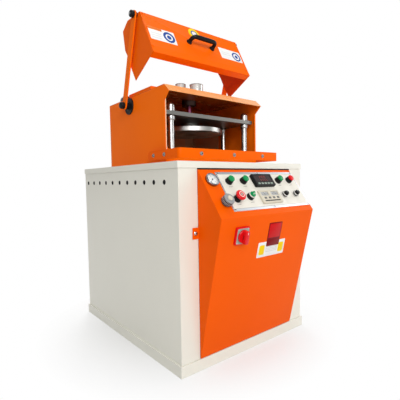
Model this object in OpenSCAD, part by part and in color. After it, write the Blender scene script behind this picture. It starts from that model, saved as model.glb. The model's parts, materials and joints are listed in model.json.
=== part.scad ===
// Front-loading centrifugal casting machine, in millimetres.
// The origin is on the floor under the middle of the cabinet, the front faces -Y and up is +Z.

/* [Cabinet] */
// Width of the cabinet over its side panels
cab_w = 686; // [670:1:760]
// Depth of the cabinet over its front and rear faces
cab_d = 830; // [810:1:900]
// Height of the lid's top face above the floor
cab_h = 754; // [745:1:800]
// Height of the plinth
plinth_h = 42; // [36:1:60]
// How far the plinth stands out beyond the panels
plinth_proud = 6; // [3:1:12]
// Thickness of the panels and the front and rear frames
sheet = 3; // [2:0.5:4]
// Side of the frame's square tube
frame_tube = 40; // [34:1:46]
// Height of the lid's turned-down edge
lid_edge = 24; // [20:1:26]
// Thickness of the lid's sheet
lid_t = 2; // [1.5:0.5:3]
// How far the lid's edge stands out beyond the panels
lid_overhang = 3; // [2.5:0.5:6]
// Number of vent holes in each side panel
vent_count = 11; // [7:1:11]
// Distance between vent holes
vent_pitch = 70.5; // [60:0.5:72]
// Diameter of a vent hole
vent_d = 15; // [8:1:20]
// How far the left panel's vent holes lie behind the right one's
vent_shift = 22; // [0:1:25]
// Depth of the vent holes' line below the lid's top face
vent_drop = 72; // [60:1:90]

/* [Console] */
// Left edge of the console
con_left = -261; // [-270:1:-255]
// Right edge of the console
con_right = 256; // [250:1:262]
// Depth of the console's top edge below the lid's top face
con_drop = 27; // [26:1:30]
// How far the console's nose stands out from its top edge
nose_out = 123; // [110:1:135]
// How far the nose lies below the console's top edge
nose_down = 169; // [160:1:180]
// Thickness of the console's sheet
con_t = 2; // [1.5:0.5:2.5]
// Thickness of the instrument plate
plate_t = 2; // [1.5:0.5:3]
// Diameter of the holes for buttons and switches
button_hole_d = 22.5; // [22:0.5:24]
// Diameter of a button's black collar
collar_d = 30; // [28:0.5:32]
// Height of a button's black collar
collar_h = 13; // [10:1:16]
// Travel of a button
button_travel = 4; // [2:0.5:5]
// Diameter of the emergency stop
estop_d = 40; // [36:1:42]
// Diameter of the front gauge over its rim
gauge_d = 53; // [50:1:56]
// Side of the main switch's base
switch_w = 64; // [60:1:68]

/* [Rear] */
// Left edge of the rear panel, seen from the front
rear_left = -244; // [-250:1:-235]
// Right edge of the rear panel, seen from the front
rear_right = 261; // [255:1:262]
// Height of the fan's centre above the floor
fan_z = 490; // [440:1:540]
// Side of the fan's square frame
fan_w = 120; // [116:1:122]
// Distance of the fan's screws from its frame's edges
fan_edge = 7.5; // [6.5:0.25:9.5]
// Depth of the fan
fan_depth = 38; // [32:1:40]

/* [Chamber] */
// Width of the casting chamber
ch_w = 525; // [520:1:528]
// Rear face of the chamber
ch_back = 273; // [265:1:280]
// Front edge of the chamber's side walls, measured towards the front
ch_front = 222; // [218:1:228]
// Height of the chamber above the lid
ch_h = 310; // [305:1:318]
// Thickness of the chamber's sheets
ch_t = 2; // [1.5:0.5:2.5]
// How far the roof's nose stands out beyond the front edge
lip_out = 35; // [30:1:40]
// How far the roof's nose drops below the roof
lip_drop = 32; // [26:1:38]
// Height of the mouth's lower edge above the lid
sill_h = 58; // [50:1:60]
// Width of the orange strip on the chamber's back
strip_w = 46; // [35:1:60]
// Thickness of the roof plate
roof_plate_t = 13; // [10:1:16]

/* [Apron] */
// How far the apron's side bands stand outside the chamber's walls
apron_side = 18; // [17.5:0.25:19.5]
// How far the apron's front face lies in front of the cabinet's middle
apron_front = 338; // [334:1:342]
// Rear end of the apron's side bands, measured towards the front
apron_rear = 116; // [110:1:125]
// Height of the apron's band
apron_h = 38; // [34:1:38]
// Gap under the apron
apron_gap = 16; // [14:1:16]
// Thickness of the apron's band
apron_t = 3; // [2:0.5:3]

/* [Spinning parts] */
// Distance of the spin axis in front of the cabinet's middle
axis_front = 35; // [30:1:40]
// Diameter of the clamp disc
disc_d = 310; // [290:1:316]
// Thickness of the clamp disc
disc_t = 21; // [16:1:24]
// Height of the clamp disc's underside above the lid
disc_z = 150; // [148:1:156]
// Diameter of the mould table
table_d = 300; // [280:1:310]
// Thickness of the mould table
table_t = 22; // [16:1:24]
// Height of the mould table's top above the lid when it is down
table_z = 46; // [44:1:50]
// How far the table lifts
lift = 90; // [60:1:92]
// Diameter of the table's shaft
shaft_d = 40; // [36:1:44]
// Diameter of a column
column_d = 26; // [24:1:28]
// How far inside the chamber's walls the columns stand
column_inset = 49.5; // [46.5:0.5:51.5]
// Distance of the front columns in front of the spin axis
column_y = 155; // [150:1:158]
// How far the yoke plate reaches behind the spin axis
yoke_rear = 62; // [55:1:80]
// Thickness of the yoke plate
yoke_t = 16; // [12:1:18]
// Diameter of the spindle pulley
spindle_pulley_d = 140; // [130:1:146]
// Diameter of the motor pulley
motor_pulley_d = 90; // [80:1:96]
// Width of the drive belt
belt_w = 18; // [14:1:20]
// Running clearance between a shaft and its bore, on the radius
run = 0.05; // [0.03:0.01:0.08]
// Clearance where pieces lie close without touching
gap = 0.3; // [0.2:0.05:0.35]

/* [Hood] */
// Room between the chamber's walls and the hood's end plates
hood_room = 14.5; // [14:0.25:14.5]
// Room between the hood's end plates and the arms
arm_room = 7; // [6:0.5:8]
// Height of the hood's front plate
hood_h = 215; // [210:1:216]
// Thickness of the hood's sheet
hood_t = 2; // [1.5:0.5:2]
// Width of the hood's inward flanges
hood_flange = 32; // [20:1:36]
// How far the hood tilts back when open, in degrees
hood_tilt = 27.4; // [26:0.1:28]
// Distance from the arms' lower pivots to their upper ones
arm_len = 374; // [372:1:376]
// Lean of the arms towards the front when open, in degrees
arm_lean = 16.8; // [16:0.1:17.5]
// Height of the lower pivots above the lid
pivot_z = 272; // [270:1:273]
// Distance of the lower pivots behind the cabinet's middle
pivot_y = 64; // [62:1:66]
// Width of an arm
arm_w = 34; // [28:1:36]
// Thickness of an arm
arm_t = 6; // [5:0.5:6.5]
// Diameter of the pivot pins
pin_d = 12; // [10:1:14]
// Diameter of the black discs at the lower pivots
pivot_disc_d = 75; // [68:1:76]
// Distance between the handle's feet
handle_w = 133; // [120:1:150]
// Diameter of the handle's bow
handle_d = 12; // [10:1:14]

/* [Air line and cord] */
// Diameter of the air pipe
pipe_d = 21; // [18:1:21]
// Height of the air pipe above the lid
pipe_h = 272; // [262:1:280]
// Diameter of the gauge on the air pipe
top_gauge_d = 54; // [50:1:58]
// Diameter of the mains cord
cord_d = 10; // [9:0.5:10]
// Turns in the loops on the floor
loop_turns = 3.5; // [2.5:1:4.5]
// Radius of the outermost loop's round ends
loop_r = 62; // [61:0.5:62]
// Length of the straight runs in each loop
loop_run = 45; // [40:1:50]
// Step between neighbouring loops
loop_step = 11; // [10.8:0.1:11.2]

/* [Hidden] */
$fn = 48;

// Colours as the photograph shows them
orange = [0.93, 0.36, 0.03];
white = [0.92, 0.91, 0.88];
black = [0.06, 0.06, 0.07];
steel = [0.74, 0.75, 0.77];
beige = [0.78, 0.74, 0.66];
green = [0.05, 0.55, 0.28];
red = [0.82, 0.06, 0.07];
dark = [0.22, 0.22, 0.23];

// Places that follow from the driving sizes
half_w = cab_w / 2;
half_d = cab_d / 2;
body_top = cab_h - lid_t;
front = -half_d;
reveal = 2;
con_y = front - reveal;
con_top = cab_h - con_drop;
con_foot = plinth_h + 2;
foot_out = 3;
slope_a = atan2(nose_down, nose_out);
nose_y = con_y - nose_out;
nose_z = con_top - nose_down;
face_a = 90 + atan2(nose_out - foot_out, nose_z - con_foot);
lap = 16;
hinge_x = con_right + 6;
hinge_y = con_y - 4;
hinge_r = 5;
axis_y = -axis_front;
bed_t = 20;
bed_top = body_top;
ch_x = ch_w / 2;
ch_top = cab_h + ch_h;
lip_y = -ch_front - lip_out;
lip_z = ch_top - lip_drop;
lip_back_z = lip_z - 32;
sill_z = cab_h + sill_h;
apron_z = cab_h + apron_gap;
apron_x = ch_x + apron_side;
apron_in = apron_x - apron_t;
yoke_room = 27;
yoke_z = cab_h + disc_z + disc_t + yoke_room;
yoke_edge = 20;
yoke_front = axis_y - column_y - yoke_edge;
yoke_back = axis_y + yoke_rear;
yoke_side = 34;
bearing_d = 90;
bearing_drop = 20;
stub_d = 60;
column_x = ch_x - column_inset;
side_column_x = column_x + 6;
table_top = cab_h + table_z;
housing_z = 600;
pulley_h = 30;
pulley_z = housing_z - gap - pulley_h;
shelf_t = 8;
shelf_z = pulley_z - gap - shelf_t;
shaft_end = 430;
cup_d = 70;
cup_floor = 14;
cup_z = shaft_end - gap - cup_floor;
cylinder_z = plinth_h + frame_tube;
cylinder_spare = 200;
cylinder_h = lift + cylinder_spare;
cylinder_d = 92;
cylinder_wall = 5;
cylinder_foot_w = 110;
cylinder_head_w = 104;
cylinder_end = 20;
tie_rod_d = 10;
tie_rod_at = 44;
lift_rod_d = 25;
piston_t = 20;
motor_x = 190;
motor_y = 90;
motor_h = 260;
motor_d = 150;
motor_shaft_d = 24;
groove = 8;
belt_t = 6;
hood_x = ch_x + hood_room;
arm_x = hood_x + arm_room;
knee_u = 28;
knee_v = hood_h + 9;
pivot_height = cab_h + pivot_z;
knee_y = pivot_y - arm_len * sin(arm_lean);
knee_z = pivot_height + arm_len * cos(arm_lean);
pipe_x = -160;
pipe_y = ch_back + 21;

// Places on the console's slope: distance right of the middle, and down from the top edge
gauge_at = [-222, 52];
green_at = [[-146, 60], [-72, 60], [132, 61]];
red_at = [202, 61];
estop_at = [-150, 137];
selector_at = [-78, 131];
knob_at = [[123, 131], [194, 131]];
regulator_at = [-209, 147];
display_lo = [-22, 33];
display_hi = [90, 92];
timer_lo = [-28, 108];
timer_hi = [86, 166];
plate_lo = [-190, 16];
plate_hi = [252, 186];
switch_at = [-157, 67];

// A block between two corners
module block(a, b) {
    translate([min(a.x, b.x), min(a.y, b.y), min(a.z, b.z)])
        cube([abs(b.x - a.x), abs(b.y - a.y), abs(b.z - a.z)]);
}

// A plate across X from x0 to x1 with its outline given as (Y, Z) points
module side_plate(x0, x1, outline) {
    translate([x0, 0, 0]) rotate([90, 0, 90]) linear_extrude(x1 - x0) polygon(outline);
}

// A round bar along X
module bar_x(at, d, len) {
    translate(at) rotate([0, 90, 0]) cylinder(d = d, h = len);
}

// A round bar along Y
module bar_y(at, d, len) {
    translate(at) rotate([-90, 0, 0]) cylinder(d = d, h = len);
}

// A round bar along Z
module bar_z(at, d, len) {
    translate(at) cylinder(d = d, h = len);
}

// A place on the console's slope, with Z pointing away from it
module on_slope(at, up = 0) {
    translate([0, con_y, con_top]) rotate([slope_a, 0, 0]) translate([at.x, -at.y, up]) children();
}

// A place on the console's lower face, measured down from its nose
module on_face(at, up = 0) {
    translate([0, nose_y, nose_z]) rotate([face_a, 0, 0]) translate([at.x, -at.y, up]) children();
}

// A rectangle on the slope between two places, from height z0 to z1
module slope_block(lo, hi, z0, z1) {
    on_slope([0, 0]) block([lo.x, -lo.y, z0], [hi.x, -hi.y, z1]);
}

// Copies at the four columns: two at the front, two beside the spin axis
module at_columns() {
    for (side = [-1, 1]) {
        translate([side * column_x, axis_y - column_y, 0]) children();
        translate([side * side_column_x, axis_y, 0]) children();
    }
}

// A low domed screw head lying on the plane z = 0
module screw_head(d, h) {
    cylinder(d = d, h = h * 0.6);
    translate([0, 0, h * 0.6]) cylinder(d1 = d, d2 = d * 0.6, h = h * 0.4);
}

// Cabinet

module plinth() color(white) difference() {
    x = half_w + plinth_proud;
    y = half_d + plinth_proud;
    block([-x, -y, 0], [x, y, plinth_h]);
    block([frame_tube - x, frame_tube - y, sheet], [x - frame_tube, y - frame_tube, plinth_h + 1]);
}

module square_tube(a, b, wall = 3) {
    along_x = abs(b.x - a.x) > frame_tube + 1;
    along_y = abs(b.y - a.y) > frame_tube + 1;
    along_z = !along_x && !along_y;
    w = [along_x ? -1 : wall, along_y ? -1 : wall, along_z ? -1 : wall];
    difference() {
        block(a, b);
        block(a + w, b - w);
    }
}

// A sheet with a window, at the cabinet's front or rear
module portal(y0, y1, lo, hi) {
    x = half_w - sheet;
    difference() {
        block([-x, y0, plinth_h], [x, y1, body_top]);
        block([lo.x, y0 - 1, lo.y], [hi.x, y1 + 1, hi.y]);
    }
}

module cabinet_frame() color(white) {
    x = half_w - sheet;
    y = half_d - sheet;
    portal(front, front + sheet, [con_left + lap, con_foot + lap], [con_right - lap, con_top - lap]);
    portal(half_d - sheet, half_d, [rear_left + lap, con_foot + lap], [rear_right - lap, con_top - lap]);
    for (sx = [-1, 1], sy = [-1, 1])
        square_tube([sx * (x - frame_tube / 2) - frame_tube / 2, sy * (y - frame_tube / 2) - frame_tube / 2, plinth_h],
            [sx * (x - frame_tube / 2) + frame_tube / 2, sy * (y - frame_tube / 2) + frame_tube / 2, body_top]);
    for (sx = [-1, 1]) {
        side_rail(sx, plinth_h);
        side_rail(sx, shelf_z - frame_tube);
        side_rail(sx, bed_top - bed_t - frame_tube);
    }
    for (sy = [-1, 1]) cross_rail(axis_y + sy * 60, plinth_h);
    shelf();
    bed_plate();
    door_hinges();
}

// A rail along one side of the frame
module side_rail(side, z) {
    xm = side * (half_w - sheet - frame_tube / 2);
    y = half_d - sheet - frame_tube;
    square_tube([xm - frame_tube / 2, -y, z], [xm + frame_tube / 2, y, z + frame_tube]);
}

// A rail across the frame
module cross_rail(y, z) {
    x = half_w - sheet - frame_tube;
    square_tube([-x, y - frame_tube / 2, z], [x, y + frame_tube / 2, z + frame_tube]);
}

// The shelf that carries the motor and the spindle pulley
module shelf() {
    x = half_w - sheet - 1;
    difference() {
        block([-x, axis_y - 110, shelf_z], [x, motor_y + 110, shelf_z + shelf_t]);
        bar_z([0, axis_y, shelf_z - 1], shaft_d + 12, shelf_t + 2);
        bar_z([motor_x, motor_y, shelf_z - 1], motor_shaft_d + 16, shelf_t + 2);
    }
}

// The thick plate under the lid that carries the columns and the spindle
module bed_plate() {
    x = half_w - sheet - 1;
    difference() {
        block([-x, axis_y - column_y - 40, bed_top - bed_t], [x, axis_y + column_y + 40, bed_top]);
        bar_z([0, axis_y, bed_top - bed_t - 1], shaft_d + 20, bed_t + 2);
        at_columns() bar_z([0, 0, bed_top - bed_t - 1], column_d + 0.4, bed_t + 2);
    }
}

hinge_z = [plinth_h + 90, con_top - 120];
hinge_h = 24;
hinge_pin_d = 5;

// Fixed leaves and pins of the console door's hinges
module door_hinges() {
    for (z = hinge_z) {
        bar_z([hinge_x, hinge_y, z], 2 * hinge_r, hinge_h);
        block([hinge_x, front, z], [hinge_x + 2, hinge_y, z + hinge_h]);
        block([hinge_x, front, z], [hinge_x + 26, front - 2, z + hinge_h]);
        bar_z([hinge_x, hinge_y, z], hinge_pin_d, 2 * hinge_h + gap);
    }
}

module side_panel(side, shift = 0) {
    x0 = side * (half_w - sheet);
    x1 = side * half_w;
    first = shift - (vent_count - 1) / 2 * vent_pitch;
    difference() {
        block([x0, front, plinth_h], [x1, half_d, body_top]);
        for (i = [0 : vent_count - 1])
            bar_x([min(x0, x1) - 1, first + i * vent_pitch, cab_h - vent_drop], vent_d, sheet + 2);
    }
}

module left_side_panel() color(white) side_panel(-1, vent_shift);

module right_side_panel() color(white) side_panel(1);

module lid() color(white) difference() {
    x = half_w + lid_overhang;
    y = half_d + lid_overhang;
    inset = min(lid_t, lid_overhang - 0.3);
    block([-x, -y, cab_h - lid_edge], [x, y, cab_h]);
    block([inset - x, inset - y, cab_h - lid_edge - 1], [x - inset, y - inset, body_top]);
    bar_z([0, axis_y, body_top - 1], shaft_d + 20, lid_t + 2);
    at_columns() bar_z([0, 0, body_top - 1], column_d + 0.4, lid_t + 2);
}

// Rear panel, fan and gland

fan_x = 4;
fan_bore = fan_w - 8;
fan_pitch = fan_w - 2 * fan_edge;

module rear_panel() color(orange) difference() {
    block([rear_left, half_d, con_foot + 1], [rear_right, half_d + con_t, con_top + 3]);
    bar_y([fan_x, half_d - 1, fan_z], fan_bore, con_t + 2);
    at_fan_screws() bar_y([0, -1, 0], 4.5, con_t + 2);
}

module at_fan_screws() {
    for (sx = [-1, 1], sz = [-1, 1])
        translate([fan_x + sx * fan_pitch / 2, half_d, fan_z + sz * fan_pitch / 2]) children();
}

module body_screws() color(steel) {
    at_fan_screws() translate([0, con_t, 0]) rotate([-90, 0, 0]) screw_head(7, 3);
    for (x = [rear_left + 12, rear_right - 12], z = [con_foot + 13, con_top - 9])
        translate([x, half_d + con_t, z]) rotate([-90, 0, 0]) screw_head(10, 4);
    for (x = [-175, 0, 175])
        translate([x, -apron_front, apron_z + apron_h / 2]) rotate([90, 0, 0]) screw_head(11, 5);
    for (side = [-1, 1], y = apron_bolt_y)
        translate([side * apron_x, y, apron_z + apron_h / 2]) rotate([0, side * 90, 0]) screw_head(11, 5);
}

module fan_frame() color(black) {
    y0 = half_d - fan_depth;
    difference() {
        block([fan_x - fan_w / 2, y0, fan_z - fan_w / 2], [fan_x + fan_w / 2, half_d, fan_z + fan_w / 2]);
        bar_y([fan_x, y0 - 1, fan_z], fan_bore, fan_depth + 2);
        at_fan_screws() bar_y([0, -fan_depth - 1, 0], 4.5, fan_depth + 2);
    }
    for (a = [30 : 120 : 270])
        translate([fan_x, y0, fan_z]) rotate([0, a, 0]) block([0, 0, -3], [fan_bore / 2 + 1, 4, 3]);
    bar_y([fan_x, y0, fan_z], 44, 4);
    bar_y([fan_x, y0 + 4, fan_z], 6, fan_depth - 12);
}

module fan_guard() color(steel) {
    wire = 3;
    y = half_d + con_t + wire;
    for (r = [12 : 10 : 52])
        translate([fan_x, y, fan_z]) rotate([90, 0, 0]) rotate_extrude() translate([r, 0]) circle(d = wire, $fn = 16);
    for (a = [45 : 90 : 315])
        translate([fan_x, y - wire / 2, fan_z]) rotate([0, a, 0])
            block([11, -wire / 2, -wire / 2], [fan_pitch / sqrt(2) - 5, wire / 2, wire / 2]);
    at_fan_screws() translate([0, con_t, 0]) rotate([-90, 0, 0]) difference() {
        cylinder(d = 12, h = wire);
        translate([0, 0, -1]) cylinder(d = 8, h = wire + 2);
    }
}

module fan_rotor() color(black) {
    y0 = half_d - fan_depth + 4.5;
    hub_h = fan_depth - 14;
    tip_r = fan_bore / 2 - 2;
    translate([fan_x, y0, fan_z]) rotate([-90, 0, 0]) difference() {
        union() {
            cylinder(d = 42, h = hub_h);
            intersection() {
                cylinder(r = tip_r, h = hub_h);
                for (i = [0 : 6]) rotate([0, 0, i * 360 / 7])
                    translate([18, 0, hub_h / 2]) rotate([38, 0, 0]) translate([0, -15, -1]) cube([tip_r, 30, 2]);
            }
        }
        translate([0, 0, -1]) cylinder(d = 6 + 2 * run, h = hub_h + 2);
    }
}

gland_inset = 43;
gland_z = 228;
gland_at = [half_w - gland_inset, half_d, gland_z];

// An elbow gland: its base sits on the rear frame and its nose points inwards and a little down
module cable_gland() color(black) {
    translate(gland_at) rotate([-90, 0, 0]) cylinder(d = 38, h = 6, $fn = 6);
    bar_y(gland_at, 28, 27);
    translate(gland_at + [0, 27, 0]) sphere(d = 28);
    translate(gland_at + [0, 27, 0]) rotate([0, 0, -15]) rotate([0, -111, 0]) {
        cylinder(d = 24, h = 26);
        translate([0, 0, 8]) cylinder(d = 30, h = 12, $fn = 6);
    }
}

gland_exit = gland_at + [0, 27, 0] + 26 * [-0.902, 0.242, -0.358];

// The route of the cord from the gland to the loops on the floor
cord_route = [
    gland_exit,
    gland_exit + 10 * [-0.902, 0.242, -0.358],
    [248, 453, 205], [228, 457, 190], [209, 457, 171], [195, 454, 147], [187, 450, 120], [184, 447, 90],
    [184, 446, 62], [185, 449, 37], [186, 458, 18], [187, 473, 8], [187, 493, 5.5], [179, 523, 5.5],
    [157, 545, 5.5], [127, 553, 5.5], [104, 553, 5.5], [89, 553, 5.5], [75, 553, 5.5]
];

// The route of the cord from the loops up to the plug
plug_route = [
    [75, 429, 16.1], [86, 429, 16.1], [102, 429, 15.6], [122, 429, 13.4], [146, 429, 9], [172, 430, 6],
    [200, 431, 5.5], [238, 432, 5.5], [261, 432, 12], [278, 432, 29], [284, 432, 52], [284, 432, 58], [284, 432, 68]
];

function unit(v) = v / norm(v);
function heading(p, i) = unit(p[min(i + 1, len(p) - 1)] - p[max(i - 1, 0)]);
function flatten(v, t) = unit(v - (v * t) * t);

// A side direction at each point, carried along the path without twist
function sides_of(p) = [
    for (i = 0, s = flatten([0.1, 0.2, 1], heading(p, 0)); i < len(p);
        i = i + 1, s = i < len(p) ? flatten(s, heading(p, i)) : s) s
];

floor_cut = 0.5;

// The points of a ring of n corners around each point of a path, cut flat where it rests on the floor
function rings_of(p, d, n) = let (s = sides_of(p)) [
    for (i = [0 : len(p) - 1])
        let (t = heading(p, i), w = cross(t, s[i]))
            for (k = [0 : n - 1])
                let (a = 360 * k / n, q = p[i] + d / 2 * (cos(a) * s[i] + sin(a) * w)) [q.x, q.y, max(q.z, floor_cut)]
];

// A tube of n sides along a path
module tube(p, d, n) {
    rows = len(p);
    polyhedron(
        points = rings_of(p, d, n),
        faces = concat(
            [[for (k = [0 : n - 1]) k]],
            [for (i = [0 : rows - 2], k = [0 : n - 1]) let (a = i * n + k, b = i * n + (k + 1) % n) [a, a + n, b]],
            [for (i = [0 : rows - 2], k = [0 : n - 1]) let (a = i * n + k, b = i * n + (k + 1) % n) [b, a + n, b + n]],
            [[for (k = [n - 1 : -1 : 0]) (rows - 1) * n + k]]
        ),
        convexity = 6
    );
}

module mains_cord() color(black) tube(cord_route, cord_d, 10);

module plug_cord() color(black) tube(plug_route, cord_d, 10);

loop_at = [65, 491];
loop_rings = 24;
loop_layer = 10.6;

// One point of the loops, u turns along them: they spiral in, climb a layer where they turn back, and spiral out
function loop_point(u) =
    let (
        mid = loop_turns / 2,
        a = 90 + 360 * u,
        r = loop_r - loop_step * (u < mid ? u : loop_turns - u),
        shift = loop_run / 2 * max(-1, min(1, 3 * cos(a))),
        climb = max(0, min(1, (u - mid + 0.25) * 2))
    )
        [loop_at.x + shift + r * cos(a), loop_at.y + r * sin(a), 5.5 + loop_layer * climb];

// The loops with a short straight run at each end, where the cord's other stretches meet them
loop_path = concat(
    [loop_point(0) + [cord_d, 0, 0]],
    [for (i = [0 : loop_rings * loop_turns]) loop_point(i / loop_rings)],
    [loop_point(loop_turns) + [cord_d, 0, 0]]
);

// Least distance between parts of the loops that lie over half a turn apart, less the cord itself
function loop_gap() = min([
    for (i = [0 : len(loop_path) - 1], j = [i + 14 : len(loop_path) - 1]) norm(loop_path[i] - loop_path[j])
]) - cord_d;

module mains_cord_coil() color(black) tube(loop_path, cord_d - 0.2, 6);

echo(least_gap_in_loops = loop_gap());

plug_at = [284, 432, 128];

module mains_plug() color(white) {
    block([plug_at.x - 20, half_d + gap, plug_at.z], [plug_at.x + 20, plug_at.y + 16, plug_at.z + 62]);
    for (y = [plug_at.y - 9.5, plug_at.y + 9.5]) bar_x([plug_at.x - 39, y, plug_at.z + 16], 4.8, 20);
    translate([plug_at.x, plug_at.y, 68]) cylinder(d1 = 15, d2 = 24, h = plug_at.z - 67);
}

// Console

con_profile = [
    [con_y, con_top], [nose_y, nose_z], [con_y - foot_out, con_foot], [con_y, con_foot]
];

// The wedge's inside: the slope and the lower face moved in by the sheet, back to the return flange
slope_lean = nose_out / nose_down;
face_lean = (nose_out - foot_out) / (nose_z - con_foot);
slope_in = con_t / sin(slope_a);
face_in = con_t / sin(face_a);
inner_nose_z = (con_top * slope_lean - foot_out + con_foot * face_lean + face_in - slope_in) / (slope_lean + face_lean);
con_cavity = [
    [con_y - con_t, con_top - (con_t + slope_in) / slope_lean],
    [con_y - (con_top - inner_nose_z) * slope_lean + slope_in, inner_nose_z],
    [con_y - con_t, con_foot + (con_t - foot_out + face_in) / face_lean]
];
flange_w = 12;

// A wedge of sheet with a return flange round its open back
module console_shell() color(orange) {
    difference() {
        union() {
            side_plate(con_left, con_right, con_profile);
            door_latch();
        }
        side_plate(con_left + con_t, con_right - con_t, con_cavity);
        block([con_left + flange_w, con_y - con_t - 1, con_foot + flange_w],
            [con_right - flange_w, con_y + 1, con_top - flange_w]);
        slope_cuts(-con_t - 1, 1);
        on_face(switch_at) block([-20, -20, -con_t - 1], [20, 20, 1]);
    }
    for (z = hinge_z) door_knuckle(z + hinge_h + gap);
}

module door_knuckle(z) {
    difference() {
        union() {
            bar_z([hinge_x, hinge_y, z], 2 * hinge_r, hinge_h);
            block([con_right - con_t, hinge_y - 1, z], [hinge_x, hinge_y + 1, z + hinge_h]);
        }
        bar_z([hinge_x, hinge_y, z - 1], hinge_pin_d + 2 * run, hinge_h + 2);
    }
}

// The holes that the instruments need, from height z0 to z1 above the slope
module slope_cuts(z0, z1) {
    for (at = concat(green_at, [red_at, estop_at, selector_at]))
        on_slope(at, z0) cylinder(d = button_hole_d, h = z1 - z0);
    for (at = knob_at) on_slope(at, z0) cylinder(d = 10, h = z1 - z0);
    on_slope(gauge_at, z0) cylinder(d = gauge_d - 4, h = z1 - z0);
    on_slope(regulator_at, z0) cylinder(d = 30, h = z1 - z0);
    slope_block(display_lo + [4, 4], display_hi - [4, 4], z0, z1);
    slope_block(timer_lo + [4, 4], timer_hi - [4, 4], z0, z1);
}

module console_seal() color(black)
    block([con_left, con_y - 2, con_top], [con_right, con_y + 0.5, cab_h - lid_edge - gap]);

module instrument_plate() color(steel) difference() {
    slope_block(plate_lo, plate_hi, 0, plate_t);
    slope_cuts(-1, plate_t + 1);
}

latch_z = 500;
latch_out = 26;
latch_h = 40;

// The tab at the console's left edge that a bolt holds to the cabinet
module door_latch()
    block([con_left - latch_out, con_y, latch_z - latch_h / 2], [con_left + 1, con_y - con_t, latch_z + latch_h / 2]);

// The instrument plate's screws and the latch tab's bolt
module console_screws() color(steel) {
    for (x = [plate_lo.x + 7, (plate_lo.x + plate_hi.x) / 2, plate_hi.x - 7], s = [plate_lo.y + 6, plate_hi.y - 6])
        on_slope([x, s], plate_t) screw_head(7, 3);
    translate([con_left - latch_out / 2, con_y - con_t, latch_z]) rotate([90, 0, 0]) screw_head(11, 6);
}

// The front gauge: rim, recessed dial and the body behind the slope
module gauge_case() color(steel) on_slope(gauge_at) difference() {
    union() {
        cylinder(d = gauge_d, h = 9);
        translate([0, 0, 9]) cylinder(d1 = gauge_d, d2 = gauge_d - 4, h = 3);
        translate([0, 0, -26]) cylinder(d = gauge_d - 5, h = 26.5);
        translate([0, 0, -42]) cylinder(d = 14, h = 16.5);
    }
    translate([0, 0, 6]) cylinder(d = gauge_d - 8, h = 8);
    translate([0, 0, 2]) cylinder(d = 3 + 2 * run, h = 6);
}

module gauge_needle() color(black) on_slope(gauge_at) {
    translate([0, 0, 2.5]) cylinder(d = 3, h = 5);
    translate([0, 0, 6.6]) cylinder(d = 6, h = 1.4);
    rotate([0, 0, 225]) block([-8, -0.9, 6.8], [gauge_d / 2 - 9, 0.9, 7.6]);
}

// A black collar on the plate with its body behind it
module switch_body(at) {
    on_slope(at) difference() {
        union() {
            translate([0, 0, plate_t]) cylinder(d = collar_d, h = collar_h);
            translate([0, 0, -38]) cylinder(d = button_hole_d - 0.5, h = 38 + plate_t);
            block([-15, -20, -38], [15, 20, -con_t - 6]);
        }
        translate([0, 0, -8]) cylinder(d = 18 + 2 * gap, h = collar_h + plate_t + 10);
    }
}

module control_bodies() color(black) {
    for (at = concat(green_at, [red_at, estop_at, selector_at])) switch_body(at);
    for (at = knob_at) on_slope(at) difference() {
        union() {
            translate([0, 0, -24]) cylinder(d = 24, h = 24 - con_t);
            translate([0, 0, -con_t]) cylinder(d = 9.6, h = con_t + plate_t + 4);
        }
        translate([0, 0, -20]) cylinder(d = 6 + 2 * run, h = 30);
    }
    on_slope(regulator_at) difference() {
        union() {
            translate([0, 0, -50]) cylinder(d = 42, h = 50 - con_t);
            translate([0, 0, -con_t]) cylinder(d = 29, h = con_t + 4);
        }
        translate([0, 0, -30]) cylinder(d = 12 + 2 * run, h = 40);
    }
}

// A round button: cap above the collar and stem inside it
module push_button(at, colour) color(colour) on_slope(at) {
    top = plate_t + collar_h;
    translate([0, 0, -2]) cylinder(d = 18, h = top + 3);
    translate([0, 0, top + button_travel + gap]) cylinder(d = collar_d - 4, h = 5);
    translate([0, 0, top]) cylinder(d = 18, h = button_travel + 1);
    translate([0, 0, top + button_travel + gap + 5]) cylinder(d1 = collar_d - 4, d2 = collar_d - 9, h = 2.5);
}

module selector_knob() color(black) on_slope(selector_at) {
    top = plate_t + collar_h + gap;
    translate([0, 0, -2]) cylinder(d = 18, h = top + 3);
    translate([0, 0, top]) cylinder(d = collar_d - 4, h = 4);
    rotate([0, 0, 45]) block([-12, -4.5, top + 3], [12, 4.5, top + 13]);
}

module estop_button() color(red) on_slope(estop_at) {
    top = plate_t + collar_h;
    translate([0, 0, -2]) cylinder(d = 18, h = top + 8);
    translate([0, 0, top + 5 + gap]) cylinder(d1 = estop_d - 10, d2 = estop_d, h = 6);
    translate([0, 0, top + 11 + gap]) cylinder(d = estop_d, h = 4);
    translate([0, 0, top + 15 + gap]) cylinder(d1 = estop_d, d2 = estop_d - 12, h = 4);
}

// A small turning knob with a flat pointer
module turn_knob(at) color(black) on_slope(at) {
    z = plate_t + 4 + gap;
    translate([0, 0, -15]) cylinder(d = 6, h = z + 16);
    translate([0, 0, z]) cylinder(d = 26, h = 3);
    translate([0, 0, z + 3]) cylinder(d1 = 20, d2 = 17, h = 13);
    block([-1, 5, z + 15.5], [1, 9.5, z + 17]);
}

module regulator_knob() color(dark) on_slope(regulator_at) {
    z = 4 + gap;
    translate([0, 0, -25]) cylinder(d = 12, h = z + 26);
    difference() {
        translate([0, 0, z]) cylinder(d = 40, h = 24);
        for (a = [0 : 30 : 330]) rotate([0, 0, a]) translate([21, 0, z + 4]) cylinder(d = 5, h = 22);
    }
    translate([0, 0, z + 24]) cylinder(d1 = 34, d2 = 30, h = 4);
}

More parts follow.
